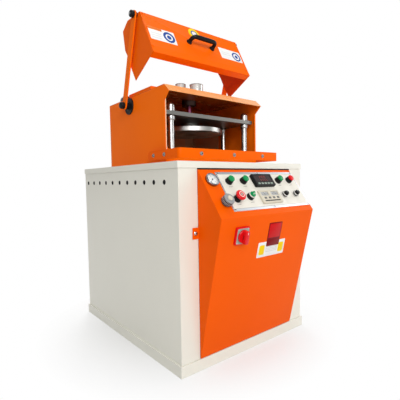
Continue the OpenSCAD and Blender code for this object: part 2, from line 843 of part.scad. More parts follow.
module display_unit() color(black) {
    top = plate_t + 12;
    difference() {
        slope_block(display_lo, display_hi, plate_t, top);
        slope_block(display_lo + [9, 7], display_hi - [9, 19], top - 2, top + 1);
    }
    slope_block(display_lo + [5, 5], display_hi - [5, 5], -30, plate_t + 1);
    for (i = [0 : 4])
        slope_block([display_lo.x + 14 + 18 * i, display_hi.y - 14], [display_lo.x + 26 + 18 * i, display_hi.y - 7],
            top - 1, top + 1.2);
}

module timer_module() color(beige) {
    top = plate_t + 8;
    w = timer_hi.x - timer_lo.x;
    difference() {
        slope_block(timer_lo, timer_hi, plate_t, top);
        for (i = [0, 1])
            slope_block([timer_lo.x + 8 + i * w / 2, timer_lo.y + 8],
                [timer_lo.x + w / 2 - 6 + i * w / 2, timer_lo.y + 26], top - 3, top + 1);
        slope_block([timer_lo.x + 12, timer_hi.y - 13], [timer_hi.x - 12, timer_hi.y - 7], top - 2, top + 1);
    }
    slope_block(timer_lo + [5, 5], timer_hi - [5, 5], -36, plate_t + 1);
    for (i = [0 : 3])
        slope_block([timer_lo.x + 16 + 24 * i, timer_lo.y + 32], [timer_lo.x + 28 + 24 * i, timer_lo.y + 40],
            top - 1, top + 1.5);
}

module main_switch_body() color(red) on_face(switch_at) difference() {
    union() {
        block([-switch_w / 2, -switch_w / 2, 0], [switch_w / 2, switch_w / 2, 9]);
        block([-19, -19, -45], [19, 19, 1]);
    }
    translate([0, 0, -20]) cylinder(d = 14 + 2 * run, h = 40);
}

module main_switch_handle() color(red) on_face(switch_at) {
    z = 9 + gap;
    translate([0, 0, -15]) cylinder(d = 14, h = z + 16);
    translate([0, 0, z]) cylinder(d = 48, h = 7);
    block([-9, -24, z + 6], [9, 24, z + 24]);
}

// Casting chamber

ch_outline = [
    [ch_back - ch_t, cab_h], [ch_back - ch_t, ch_top - ch_t], [-ch_front, ch_top - ch_t],
    [lip_y + ch_t, lip_z - 1], [-ch_front, lip_back_z], [-ch_front, cab_h]
];
mouth_r = 15;

module chamber_shell() color(orange) {
    inner = ch_x - ch_t;
    side_plate(-ch_x, -inner, ch_outline);
    side_plate(inner - ch_t, inner, ch_outline);
    block([-inner, ch_back - 2 * ch_t, cab_h], [inner - ch_t, ch_back - ch_t, ch_top - ch_t]);
    block([-ch_x, ch_back - ch_t, cab_h], [strip_w - ch_x, ch_back, ch_top - ch_t]);
    chamber_sill(inner);
}

// The front sheet under and beside the mouth, with round lower corners
module chamber_sill(inner) {
    edge = 6;
    m = inner - edge;
    difference() {
        block([-inner, -ch_front, cab_h], [inner - ch_t, ch_t - ch_front, lip_back_z]);
        block([-m, -ch_front - 1, sill_z + mouth_r], [m - ch_t, 5 - ch_front, lip_back_z + 1]);
        block([mouth_r - m, -ch_front - 1, sill_z], [m - ch_t - mouth_r, 5 - ch_front, sill_z + mouth_r + 1]);
        for (x = [mouth_r - m, m - ch_t - mouth_r]) bar_y([x, -ch_front - 1, sill_z + mouth_r], 2 * mouth_r, ch_t + 2);
    }
}

module chamber_cover() color(white) {
    set_back = 3;
    side_plate(ch_x - ch_t, ch_x, [
        [ch_back, cab_h], [ch_back, ch_top - ch_t], [set_back - ch_front, ch_top - ch_t],
        [lip_y + ch_t + 2 * set_back, lip_z], [set_back - ch_front, lip_back_z], [set_back - ch_front, cab_h]
    ]);
    block([strip_w - ch_x + 0.5, ch_back - ch_t, cab_h], [ch_x - ch_t, ch_back, ch_top - ch_t]);
}

module chamber_roof() color(orange) difference() {
    side_plate(-ch_x, ch_x, [
        [ch_back, ch_top - ch_t], [ch_back, ch_top], [-ch_front, ch_top], [lip_y, lip_z], [lip_y + ch_t, lip_z - 1],
        [-ch_front, ch_top - ch_t]
    ]);
    bar_z([0, axis_y, ch_top - ch_t - 1], tube_flange_d + 1, ch_t + 2);
}

roof_plate_front = -125;
roof_plate_back = 66;

module roof_plate() color(orange) difference() {
    block([-ch_x, roof_plate_front, ch_top], [ch_x, roof_plate_back, ch_top + roof_plate_t]);
    bar_z([0, axis_y, ch_top - 1], tube_flange_d + 1, roof_plate_t + 2);
}

cup_h = 50;
cup_wall = 2.5;
wide_cup_d = 64;
wide_cup_at = [0, -92];
small_cup_d = 50;
small_cup_at = [-64, -57];

// An open cup standing on the roof plate
module roof_cup(at, d) {
    translate([at.x, at.y, ch_top + roof_plate_t]) difference() {
        cylinder(d = d, h = cup_h);
        translate([0, 0, 4]) cylinder(d = d - 2 * cup_wall, h = cup_h);
    }
}

module roof_cups() color(steel) {
    roof_cup(wide_cup_at, wide_cup_d);
    roof_cup(small_cup_at, small_cup_d);
}

tube_flange_d = 36;
pour_tube_d = 24;
pour_bore_d = 16;
socket_d = 66;
socket_h = 24;

// The pour tube hangs in the roof plate, with a socket under the roof, and ends above the clamp disc's stub
module pour_tube() color(steel) difference() {
    top = ch_top + roof_plate_t;
    foot = yoke_z + yoke_t + 18;
    union() {
        bar_z([0, axis_y, foot], pour_tube_d, top - foot);
        bar_z([0, axis_y, ch_top - ch_t - socket_h], socket_d, socket_h);
        bar_z([0, axis_y, ch_top - ch_t], tube_flange_d, roof_plate_t + ch_t);
        bar_z([0, axis_y, top], tube_flange_d + 12, 3);
    }
    bar_z([0, axis_y, foot - 1], pour_bore_d, top - foot + 5);
    translate([0, axis_y, top - 8]) cylinder(d1 = pour_bore_d, d2 = 34, h = 11.01);
}

// Apron

apron_bolt_y = [-161, -239];
corner_r = 14;

// A rectangle with round corners between two corners
module round_rect(lo, hi, r) {
    translate([lo.x + r, lo.y]) square([hi.x - lo.x - 2 * r, hi.y - lo.y]);
    translate([lo.x, lo.y + r]) square([hi.x - lo.x, hi.y - lo.y - 2 * r]);
    for (x = [lo.x + r, hi.x - r], y = [lo.y + r, hi.y - r]) translate([x, y]) circle(r = r);
}

module apron() color(orange) {
    x = apron_x;
    z1 = apron_z + apron_h;
    end_y = -apron_rear - apron_h / 2;
    intersection() {
        translate([0, 0, apron_z]) linear_extrude(apron_h) difference() {
            round_rect([-x, -apron_front], [x, 40], corner_r);
            round_rect([-apron_in, apron_t - apron_front], [apron_in, 60], corner_r - apron_t);
        }
        union() {
            block([-x - 1, -apron_front - 1, apron_z - 1], [x + 1, end_y, z1 + 1]);
            bar_x([-x - 1, end_y, apron_z + apron_h / 2], apron_h, 2 * x + 2);
        }
    }
    for (side = [-1, 1], y = apron_bolt_y) {
        x0 = side > 0 ? ch_x : -apron_in;
        bar_x([x0, y, apron_z + apron_h / 2 - 4], 14, apron_in - ch_x);
    }
}

// Columns, yoke and clamp disc

nut_d = 34;
nut_h = 20;

module columns() color(steel) {
    foot = bed_top - bed_t;
    at_columns() {
        bar_z([0, 0, foot], column_d, yoke_z + yoke_t + nut_h - foot);
        bar_z([0, 0, cab_h], nut_d + 6, 12);
        bar_z([0, 0, yoke_z - nut_h], nut_d, nut_h);
        bar_z([0, 0, yoke_z + yoke_t], nut_d, nut_h);
        translate([0, 0, yoke_z + yoke_t + nut_h]) intersection() {
            translate([0, 0, 2]) sphere(d = nut_d - 1);
            cylinder(d = nut_d, h = 40);
        }
    }
}

module yoke_plate() color(black) difference() {
    x = column_x + yoke_side;
    union() {
        block([-x, yoke_front, yoke_z], [x, yoke_back, yoke_z + yoke_t]);
        bar_z([0, axis_y, yoke_z - bearing_drop], bearing_d, bearing_drop + 1);
    }
    at_columns() bar_z([0, 0, yoke_z - 1], column_d + 0.4, yoke_t + 2);
    bar_z([0, axis_y, yoke_z - bearing_drop - 1], stub_d + 2 * run, yoke_t + bearing_drop + 2);
}

// The clamp disc hangs by a collar above the yoke plate, and the metal runs down through its middle
module clamp_disc() color(steel) translate([0, axis_y, 0]) rotate_extrude() {
    z0 = cab_h + disc_z;
    z1 = z0 + disc_t;
    z2 = yoke_z + yoke_t + gap;
    polygon([
        [34, z0], [disc_d / 2, z0], [disc_d / 2, z1], [stub_d / 2, z1], [stub_d / 2, z2], [stub_d / 2 + 10, z2],
        [stub_d / 2 + 10, z2 + 12], [14, z2 + 12], [14, z0 + 12]
    ]);
}

// Table, spindle and drive

module mould_table() color(steel) translate([0, axis_y, 0]) {
    translate([0, 0, table_top - table_t]) cylinder(d = table_d, h = table_t);
    translate([0, 0, table_top - 1]) cylinder(d = 30, h = 5);
    translate([0, 0, table_top - table_t - 18]) cylinder(d = shaft_d + 34, h = 19);
    translate([0, 0, shaft_end]) cylinder(d = shaft_d, h = table_top - table_t - shaft_end);
}

housing_d = 96;
housing_flange_d = 160;
housing_flange_t = 16;

module spindle_housing() color(dark) translate([0, axis_y, 0]) difference() {
    top = bed_top - bed_t;
    union() {
        translate([0, 0, housing_z]) cylinder(d = housing_d, h = top - housing_z);
        translate([0, 0, top - housing_flange_t]) cylinder(d = housing_flange_d, h = housing_flange_t);
        for (a = [45 : 90 : 315]) rotate([0, 0, a])
            translate([housing_flange_d / 2 - 14, 0, top - housing_flange_t - 8]) cylinder(d = 14, h = 9);
    }
    translate([0, 0, housing_z - 1]) cylinder(d = shaft_d + 2 * run, h = top - housing_z + 2);
}

// A flat-belt pulley with two rims, standing on z = 0
module pulley(d, bore) {
    rim = (pulley_h - belt_w) / 2 - 0.5;
    difference() {
        union() {
            cylinder(d = d, h = rim);
            cylinder(d = d - 2 * groove, h = pulley_h);
            translate([0, 0, pulley_h - rim]) cylinder(d = d, h = rim);
        }
        translate([0, 0, -1]) cylinder(d = bore, h = pulley_h + 2);
    }
}

module spindle_pulley() color(dark) translate([0, axis_y, pulley_z]) pulley(spindle_pulley_d, shaft_d + 2 * run);

module motor_pulley() color(dark) translate([motor_x, motor_y, pulley_z])
    pulley(motor_pulley_d, motor_shaft_d + 2 * run);

// The belt's outline, t out from the pulleys' grooves
module belt_loop(t) {
    hull() {
        translate([0, axis_y]) circle(r = spindle_pulley_d / 2 - groove + t, $fn = 96);
        translate([motor_x, motor_y]) circle(r = motor_pulley_d / 2 - groove + t, $fn = 96);
    }
}

module drive_belt() color(black) translate([0, 0, pulley_z + (pulley_h - belt_w) / 2]) linear_extrude(belt_w)
    difference() {
        belt_loop(gap + belt_t);
        belt_loop(gap);
    }

// The motor hangs under the shelf with its shaft up
module motor() color(dark) translate([motor_x, motor_y, 0]) {
    translate([0, 0, shelf_z - 12]) cylinder(d = motor_d + 20, h = 12);
    translate([0, 0, shelf_z - motor_h]) cylinder(d = motor_d - 14, h = motor_h - 11);
    for (a = [0 : 20 : 340]) rotate([0, 0, a]) block([motor_d / 2 - 8, -1.5, 40 + shelf_z - motor_h],
        [motor_d / 2, 1.5, shelf_z - 11]);
    translate([0, 0, shelf_z - motor_h]) cylinder(d = motor_d, h = 42);
    block([-35, -motor_d / 2 - 22, shelf_z - 170], [35, -motor_d / 2 + 20, shelf_z - 90]);
    translate([0, 0, shelf_z - 1]) cylinder(d = motor_shaft_d, h = shelf_t + gap + pulley_h + 6);
}

// A square end block of the lift cylinder, w across, from height z
module square_end(w, z) {
    translate([-w / 2, -w / 2, z]) cube([w, w, cylinder_end]);
}

module lift_cylinder() color(steel) translate([0, axis_y, cylinder_z]) difference() {
    union() {
        cylinder(d = cylinder_d, h = cylinder_h);
        square_end(cylinder_foot_w, 0);
        square_end(cylinder_head_w, cylinder_h - cylinder_end);
        for (x = [-tie_rod_at, tie_rod_at], y = [-tie_rod_at, tie_rod_at])
            bar_z([x, y, cylinder_end / 2], tie_rod_d, cylinder_h - cylinder_end);
    }
    translate([0, 0, cylinder_end]) cylinder(d = cylinder_d - 2 * cylinder_wall, h = cylinder_h - 2 * cylinder_end);
    translate([0, 0, cylinder_end]) cylinder(d = lift_rod_d + 2 * run, h = cylinder_h);
}

module lift_rod() color(steel) translate([0, axis_y, 0]) {
    piston_z = cylinder_z + cylinder_end + 2;
    translate([0, 0, piston_z]) cylinder(d = cylinder_d - 2 * cylinder_wall - 2 * gap, h = piston_t);
    translate([0, 0, piston_z]) cylinder(d = lift_rod_d, h = cup_z - piston_z + 1);
    difference() {
        translate([0, 0, cup_z]) cylinder(d = cup_d, h = 40);
        translate([0, 0, cup_z + cup_floor]) cylinder(d = shaft_d + 2 * run, h = 40);
    }
}

// Hood

hood_outline = [
    [0, 0], [0, hood_h], [96, hood_h + 49], [150, hood_h + 42], [176, hood_h - 43], [171, hood_h - 84],
    [172, hood_h - 139], [167, -4]
];

// Places children in the hood's own frame: Y runs behind the front plate and Z up along it
module in_hood() {
    translate([0, knee_y, knee_z]) rotate([-hood_tilt, 0, 0]) translate([0, -knee_u, -knee_v]) children();
}

module hood_shell() color(orange) in_hood() difference() {
    union() {
        block([-hood_x, 0, 0], [hood_x, hood_t, hood_h]);
        block([-hood_x, 0, 0], [hood_x, hood_flange, hood_t]);
        block([-hood_x, 0, hood_h - hood_t], [hood_x, hood_flange, hood_h]);
        for (side = [-1, 1]) {
            x = min(side * hood_x, side * (hood_x - hood_t));
            side_plate(x, x + hood_t, hood_outline);
            bar_x([side > 0 ? hood_x - 8 : -hood_x, knee_u, knee_v - 2], 22, 8);
            for (v = [32, 132, 205])
                translate([side * (hood_x - 9), 0, v]) rotate([90, 0, 0]) screw_head(7, 3);
        }
    }
    bar_x([-hood_x - 1, knee_u, knee_v], pin_d + 2 * run, 2 * hood_x + 2);
}

handle_x = 10;
handle_v = 115;
handle_out = 36;
handle_bend = 16;

// A bow handle: two feet, two legs, quarter bends and a grip
module hood_handle() color(black) in_hood() translate([handle_x, 0, handle_v]) {
    leg = handle_out - handle_bend;
    for (side = [-1, 1]) translate([side * handle_w / 2, 0, 0]) {
        translate([0, -3, 0]) rotate([-90, 0, 0]) cylinder(d = 22, h = 3);
        translate([0, -leg, 0]) rotate([-90, 0, 0]) cylinder(d = handle_d, h = leg);
        translate([-side * handle_bend, -leg, 0]) rotate([0, 0, side > 0 ? -90 : 180])
            rotate_extrude(angle = 90) translate([handle_bend, 0]) circle(d = handle_d);
    }
    bar_x([handle_bend - handle_w / 2, -handle_out, 0], handle_d, handle_w - 2 * handle_bend);
}

// A flat bar with round ends between the two pivots
module arm(x) {
    dy = knee_y - pivot_y;
    dz = knee_z - pivot_height;
    translate([x, pivot_y, pivot_height]) rotate([arm_lean, 0, 0]) difference() {
        union() {
            block([0, -arm_w / 2, 0], [arm_t, arm_w / 2, norm([dy, dz])]);
            for (z = [0, norm([dy, dz])]) bar_x([0, 0, z], arm_w, arm_t);
        }
        bar_x([-1, 0, 0], pin_d + 2 * run, arm_t + 2);
    }
}

module hood_arms() color(orange) {
    arm(arm_x);
    arm(-arm_x - arm_t);
}

arm_knob_d = 34;
arm_knob_h = 14;
pivot_boss_d = 30;
pivot_disc_t = 6;
pivot_cap_h = 17;
cap_step = 3;

// The upper pivots: a pin through the hood's end plate, a spacer and a black knob outside the arm
module arm_knobs() color(black) {
    for (side = [-1, 1]) translate([0, knee_y, knee_z]) scale([side, 1, 1]) {
        bar_x([hood_x - 12, 0, 0], pin_d, arm_x - hood_x + 12);
        bar_x([hood_x + gap, 0, 0], 24, arm_x - hood_x - gap);
        bar_x([arm_x + arm_t, 0, 0], arm_knob_d, arm_knob_h);
        bar_x([arm_x + arm_t + arm_knob_h, 0, 0], arm_knob_d - 6, cap_step);
    }
}

// The lower pivots: a black disc on the chamber's side, a boss, a pin and a black cap outside the arm
module hood_pivots() color(black) {
    for (side = [-1, 1]) translate([0, pivot_y, pivot_height]) scale([side, 1, 1]) {
        boss_x = ch_x + pivot_disc_t;
        cap_x = arm_x + arm_t + gap;
        bar_x([ch_x, 0, 0], pivot_disc_d, pivot_disc_t);
        bar_x([boss_x, 0, 0], pivot_boss_d, arm_x - boss_x - gap);
        bar_x([boss_x, 0, 0], pin_d, cap_x - boss_x + 1);
        bar_x([cap_x, 0, 0], pivot_boss_d, pivot_cap_h);
        bar_x([cap_x + pivot_cap_h, 0, 0], pivot_boss_d - 6, cap_step);
    }
}

// Air line behind the chamber

module air_pipe() color(steel) translate([pipe_x, pipe_y, 0]) {
    neck_z = cab_h + pipe_h + 42;
    gauge_z = neck_z + 10 + top_gauge_d / 2;
    bar_z([0, 0, cab_h], pipe_d + 12, 4);
    bar_z([0, 0, cab_h], pipe_d, pipe_h);
    bar_z([0, 0, cab_h + pipe_h - 12], pipe_d + 7, 12);
    bar_z([0, 0, neck_z], 14, 14);
    difference() {
        bar_y([0, -14, gauge_z], top_gauge_d, 28);
        bar_y([0, 10, gauge_z], top_gauge_d - 6, 10);
    }
    translate([0, 10, gauge_z]) rotate([0, 40, 0]) block([-1, 0, -8], [1, 2, 20]);
}

// The black valve body: a core and two upright lobes
module air_valve() color(black) translate([pipe_x, pipe_y, cab_h + pipe_h]) {
    cylinder(d = 22, h = 42);
    for (side = [-1, 1]) translate([side * 12, 0, 4]) cylinder(d = 20, h = 36);
    translate([0, 0, 14]) rotate([-90, 0, 0]) cylinder(d = 12, h = 16);
}

plinth();
cabinet_frame();
left_side_panel();
right_side_panel();
lid();
rear_panel();
body_screws();
fan_frame();
fan_guard();
fan_rotor();
cable_gland();
mains_cord();
mains_cord_coil();
plug_cord();
mains_plug();
console_shell();
console_seal();
instrument_plate();
console_screws();
gauge_case();
gauge_needle();
control_bodies();
push_button(green_at[0], green);  // green_button_1
push_button(green_at[1], green);  // green_button_2
push_button(green_at[2], green);  // green_button_3
push_button(red_at, red);  // red_button
selector_knob();
estop_button();
turn_knob(knob_at[0]);  // speed_knob
turn_knob(knob_at[1]);  // time_knob
regulator_knob();
display_unit();
timer_module();
main_switch_body();
main_switch_handle();
chamber_shell();
chamber_cover();
chamber_roof();
roof_plate();
roof_cups();
apron();
columns();
yoke_plate();
clamp_disc();
pour_tube();
mould_table();
spindle_housing();
spindle_pulley();
drive_belt();
motor();
motor_pulley();
lift_cylinder();
lift_rod();
hood_shell();
hood_handle();
hood_arms();
arm_knobs();
hood_pivots();
air_pipe();
air_valve();
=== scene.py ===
# %% [markdown]
# # A centrifugal casting machine, dressed for a studio picture
# The machine's sheet-metal solids come packed from CAD and stay where they are. This lesson gives
# them real finishes, replaces the plainest ones with finer pieces, and lays the mains cord as one
# flexible length. Sizes are in millimetres, as on a workshop drawing. Each new piece is scaled to
# metres when it is finished.

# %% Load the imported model
import json
import math

import bmesh
import bpy
from mathutils import Matrix, Vector


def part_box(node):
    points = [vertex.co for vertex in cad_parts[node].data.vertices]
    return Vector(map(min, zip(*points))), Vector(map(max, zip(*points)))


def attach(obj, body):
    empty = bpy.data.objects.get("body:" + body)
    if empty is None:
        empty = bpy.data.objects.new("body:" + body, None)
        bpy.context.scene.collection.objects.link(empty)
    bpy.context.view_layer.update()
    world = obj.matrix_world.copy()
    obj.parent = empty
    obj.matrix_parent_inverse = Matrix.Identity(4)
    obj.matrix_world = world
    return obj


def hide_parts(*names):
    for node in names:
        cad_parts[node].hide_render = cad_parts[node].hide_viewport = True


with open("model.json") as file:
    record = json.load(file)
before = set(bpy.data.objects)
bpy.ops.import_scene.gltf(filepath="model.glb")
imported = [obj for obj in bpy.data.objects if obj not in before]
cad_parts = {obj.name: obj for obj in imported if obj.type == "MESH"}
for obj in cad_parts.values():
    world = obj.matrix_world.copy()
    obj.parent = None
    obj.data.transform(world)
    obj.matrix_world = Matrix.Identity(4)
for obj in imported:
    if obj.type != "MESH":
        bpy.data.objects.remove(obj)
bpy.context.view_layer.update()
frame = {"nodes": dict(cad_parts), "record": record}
NODES = frame["nodes"]
SLOT_OF = {part["node"]: part["material_slot"] for part in frame["record"]["subparts"]}
MM = 0.001
SPINDLE_Y = -35.0

# %% [markdown]
# ## Camera
# The picture was taken from low on the left with a short lens, so that the near corner looks large.
# The place and the direction come from fitting a camera to the cabinet's corners. The camera leans
# by one degree, so its own sideways and upward directions are turned by that much.

# %% The camera
EYE = Vector((-1.025, -1.3765, 0.686))
LOOK = Vector((0.6270, 0.7770, -0.0559)).normalized()
LEAN = math.radians(-1.0)
LENS = 31.4

camera_data = bpy.data.cameras.new("studio_camera")
camera_data.lens = LENS
camera = bpy.data.objects.new("studio_camera", camera_data)
bpy.context.collection.objects.link(camera)
right = LOOK.cross(Vector((0, 0, 1))).normalized()
above = right.cross(LOOK)
leaned_right = right * math.cos(LEAN) + above * math.sin(LEAN)
leaned_above = above * math.cos(LEAN) - right * math.sin(LEAN)
camera.matrix_world = Matrix.Translation(EYE) @ Matrix(
    (leaned_right, leaned_above, -LOOK)).transposed().to_4x4()
bpy.context.scene.camera = camera
print("camera", camera.matrix_world.translation)

# %% [markdown]
# ## Shader values
# A finish is easier to read as sums than as a web of nodes. `Value` wraps one output of a node, and
# arithmetic on it adds Math nodes. `Graph` adds every other node to a tree, and `Finish` is the
# graph of one material.

# %% Values, graphs and finishes
class Value:
    """One output of a node, which can be added, multiplied and compared."""

    def __init__(self, graph, node, output=0):
        self.graph, self.node, self.socket = graph, node, node.outputs[output]

    def out(self, name):
        return Value(self.graph, self.node, name)

    def math(self, operation, first, second):
        return self.graph.add("Math", {"operation": operation}, {0: first, 1: second})

    def __add__(self, other):
        return self.math("ADD", self, other)

    def __sub__(self, other):
        return self.math("SUBTRACT", self, other)

    def __rsub__(self, other):
        return self.math("SUBTRACT", other, self)

    def __mul__(self, other):
        return self.math("MULTIPLY", self, other)

    def __pow__(self, other):
        return self.math("POWER", self, other)

    def __gt__(self, other):
        return self.math("GREATER_THAN", self, other)

    def __lt__(self, other):
        return self.math("LESS_THAN", self, other)

    def at_least(self, other):
        return self.math("MAXIMUM", self, other)

    def at_most(self, other):
        return self.math("MINIMUM", self, other)

    __radd__, __rmul__ = __add__, __mul__


class Graph:
    """Adds nodes to one tree: settings first, then the values or links of the sockets."""

    def __init__(self, tree):
        self.tree = tree

    def add(self, kind, settings=None, inputs=None):
        node = self.tree.nodes.new("ShaderNode" + kind)
        for key, value in (settings or {}).items():
            setattr(node, key, value)
        for key, value in (inputs or {}).items():
            self.join(node.inputs[key], value)
        return Value(self, node)

    def join(self, socket, value):
        if isinstance(value, Value):
            self.tree.links.new(value.socket, socket)
        elif isinstance(value, tuple) and socket.type == "RGBA":
            socket.default_value = (*value, 1)
        else:
            socket.default_value = value

    def parts(self, place):
        """The X, Y and Z of a place."""
        split = self.add("SeparateXYZ", {}, {0: place})
        return split.out("X"), split.out("Y"), split.out("Z")


class Finish(Graph):
    """A material, made of its Principled shader and the nodes that feed it."""

    def __init__(self, name, **sockets):
        self.name, self.material = name, bpy.data.materials.new(name)
        self.material.use_nodes = True
        super().__init__(self.material.node_tree)
        self.shader = self.tree.nodes["Principled BSDF"]
        self.place = self.add("TexCoord").out("Object")
        for key, value in sockets.items():
            self.set(key.replace("_", " "), value)

    def set(self, key, value):
        self.join(self.shader.inputs[key], value)
        return self

    def noise(self, scale, detail=2.0, stretch=(1, 1, 1)):
        where = self.add("Mapping", {}, {"Vector": self.place, "Scale": stretch})
        return self.add("TexNoise", {}, {"Vector": where, "Scale": scale, "Detail": detail})

    def blend(self, factor, first, second):
        return self.add("Mix", {"data_type": "RGBA"}, {0: factor, 6: first, 7: second}).out(2)

    def bump(self, height, strength, distance):
        return self.set("Normal", self.add(
            "Bump", {}, {"Height": height, "Strength": strength, "Distance": distance}))


def shade(colour, share):
    """A colour made lighter or darker by a share."""
    return tuple(min(1.0, part * share) for part in colour)


def between(value, low, high):
    """1 where the value lies between two others, and 0 elsewhere."""
    return (value > low) * (value < high)


def reach(x, y):
    """The distance from the origin of X and Y."""
    return (x * x + y * y) ** 0.5


print("shader helpers ready")

# %% [markdown]
# ## Finishes
# The panels and the hood are powder coated: a glossy skin with a faint ripple called orange peel.
# Its ripple is about two millimetres across, and the colour drifts by a few per cent over a panel,
# as thick and thin coats do.

# %% Paint
def powder_coat(name, colour, rough=0.30, drift=0.05, shine=0.3, coat=0.0):
    """A powder coat of one colour, which drifts and ripples a little."""
    paint = Finish(name, Coat_Weight=coat, Coat_Roughness=0.15, Specular_IOR_Level=shine)
    cloud = paint.noise(3.5, 3.0)
    peel = paint.noise(420.0, 2.0)
    paint.colour = paint.blend(cloud, shade(colour, 1 - drift), shade(colour, 1 + drift))
    paint.set("Base Color", paint.colour)
    paint.set("Roughness", paint.noise(16.0, 4.0) * 0.12 + (rough - 0.06))
    return paint.bump(peel, 0.12, 0.0006)


white_paint = powder_coat("white_paint", (0.79, 0.78, 0.70), 0.34, 0.025, 0.3, 0.05)
orange_paint = powder_coat("orange_paint", (0.90, 0.125, 0.0), 0.38, 0.06, 0.05)
console_orange = powder_coat("console_orange", (0.86, 0.104, 0.0), 0.36, 0.05, 0.05)
# Painted highlight: a pale orange for the lit edge of the chamber's mouth.
pale_edge_highlight = powder_coat("pale_edge_highlight", (0.86, 0.56, 0.38), 0.34, 0.03)
print("paints made")

# %% [markdown]
# The chamber's sheets are painted a lighter orange, which stands in for the stronger light on them.
# Inside, the walls behind the table are clouded a dull brown. The roof's underside is painted dark
# as shade, its front lip is painted pale as a highlight, and the hood's ends are painted dark on
# their inner faces as shade. A tint is a second colour that a cloud of noise lets through where a
# mask is 1, and each mask compares the place on the sheet with the sheet's own faces.

# %% Paint with tints, and painted light and shade
def cloud_tint(paint, mask, colour, share):
    """Cloud a paint's colour with another one where the mask is 1."""
    cloud = paint.noise(14.0, 3.0) * 0.5 + (share - 0.25)
    paint.colour = paint.blend(mask * cloud, paint.colour, colour)
    return paint.set("Base Color", paint.colour)


DULL_BROWN, ROOF_UNDER_SHADE = (0.52, 0.31, 0.17), (0.10, 0.025, 0.012)
LIP_HIGHLIGHT, HOOD_ENDS_SHADE = (0.86, 0.37, 0.10), (0.42, 0.030, 0.0)
BACK_WALL, RIGHT_WALL, ROOF_UNDER, ROOF_LIP, HOOD_ENDS = 0.2698, 0.2605, 1.0623, -0.2225, 0.275

# Painted light: this orange is lighter than the others, and stands in for the stronger light on the
# chamber.
lit_chamber_orange = powder_coat("lit_chamber_orange", (1.0, 0.165, 0.002), 0.38, 0.05, 0.05)
x, y, z = lit_chamber_orange.parts(lit_chamber_orange.place)
back = between(y, 0.265, BACK_WALL) * (z < 0.95)
beside = between(x, 0.2, RIGHT_WALL) * between(y, 0.045, BACK_WALL) * (z < 0.93)
for wall in (back, beside):
    cloud_tint(lit_chamber_orange, wall, DULL_BROWN, 0.75)
roof_orange = powder_coat("roof_orange", (0.92, 0.15, 0.0), 0.26, 0.05, 0.3, 0.4)
x, y, z = roof_orange.parts(roof_orange.place)
# Painted shade: the roof's underside is darkened as the shade under the roof.
cloud_tint(roof_orange, (z < ROOF_UNDER) * (y > ROOF_LIP), ROOF_UNDER_SHADE, 0.60)
# Painted highlight: the roof's front lip is paler where light falls on it.
cloud_tint(roof_orange, y < ROOF_LIP, LIP_HIGHLIGHT, 0.85)
hood_orange = powder_coat("hood_orange", (0.90, 0.125, 0.0), 0.38, 0.06, 0.05)
x, y, z = hood_orange.parts(hood_orange.place)
# Painted shade: the inner faces of the hood's end plates are darkened as the shade inside the hood.
cloud_tint(hood_orange, between((x * x) ** 0.5, HOOD_ENDS - 0.0006, HOOD_ENDS + 0.0006), HOOD_ENDS_SHADE, 0.75)
print("stained paints made")

# %% [markdown]
# Steel shows how it was worked: drawn bars have lines along them, turned discs have rings, and cast
# iron is grainy. Each finish stretches a noise along the lines, or takes it from the distance to
# the spindle's axis.

# %% Metals
def metal(name, colour, rough, grain=420.0, stretch=(1, 1, 1), depth=0.08, spread=0.12):
    """A steel or aluminium with a grain, stretched along the way it was worked."""
    steel = Finish(name, Metallic=1.0)
    lines = steel.noise(grain, 3.0, stretch)
    steel.set("Base Color", steel.blend(lines, shade(colour, 0.88), shade(colour, 1.06)))
    wear = steel.noise(9.0, 3.0)
    steel.set("Roughness", lines * spread + wear * 0.10 + (rough - spread / 2 - 0.05))
    return steel.bump(lines, depth, 0.0004)


def turned(name, colour, rough):
    """A steel with the fine rings of a lathe round the spindle."""
    steel = Finish(name, Metallic=1.0)
    x, y, z = steel.parts(steel.place)
    where = steel.add("CombineXYZ", {}, {0: reach(x, y - SPINDLE_Y * MM), 2: z})
    rings = steel.add("TexNoise", {}, {"Vector": where, "Scale": 700.0, "Detail": 3.0})
    steel.set("Base Color", steel.blend(rings, shade(colour, 0.85), shade(colour, 1.08)))
    steel.set("Roughness", rings * 0.16 + (rough - 0.08))
    return steel.bump(rings, 0.25, 0.0003)


bright_steel = metal("bright_steel", (0.60, 0.60, 0.60), 0.24, 900.0, (1, 1, 0.03), 0.02, 0.06)
ground_steel = metal("ground_steel", (0.47, 0.47, 0.46), 0.26, 300.0, (1, 1, 0.02), 0.0, 0.04)
stainless = metal("stainless", (0.66, 0.645, 0.61), 0.26, 300.0, (0.03, 0.03, 1), 0.01, 0.06)
turned_steel = turned("turned_steel", (0.52, 0.51, 0.485), 0.32)
chrome = metal("chrome", (0.66, 0.67, 0.69), 0.14, 60.0, depth=0.01, spread=0.04)
plate_aluminium = metal("plate_aluminium", (0.80, 0.81, 0.82), 0.36, 900.0, (0.02, 1, 1), 0.10)
cylinder_aluminium = metal("cylinder_aluminium", (0.62, 0.64, 0.66), 0.34, 300.0, (1, 1, 0.05))
dark_iron = Finish("dark_iron", Metallic=0.6)
grains = dark_iron.noise(520.0, 4.0)
dark_iron.set("Base Color", dark_iron.blend(grains, (0.045, 0.048, 0.05), (0.10, 0.105, 0.11)))
dark_iron.set("Roughness", grains * 0.25 + 0.42).bump(grains, 0.35, 0.0006)
black_steel = metal("black_steel", (0.27, 0.265, 0.245), 0.42, 380.0, (0.05, 1, 1), 0.12)
satin_silver = metal("satin_silver", (0.80, 0.80, 0.80), 0.34, 700.0)
blackened_steel = metal("blackened_steel", (0.05, 0.05, 0.055), 0.36, 420.0)
polished_pipe = metal("polished_pipe", (0.86, 0.86, 0.87), 0.10, 200.0, (1, 1, 0.02), 0.02, 0.05)
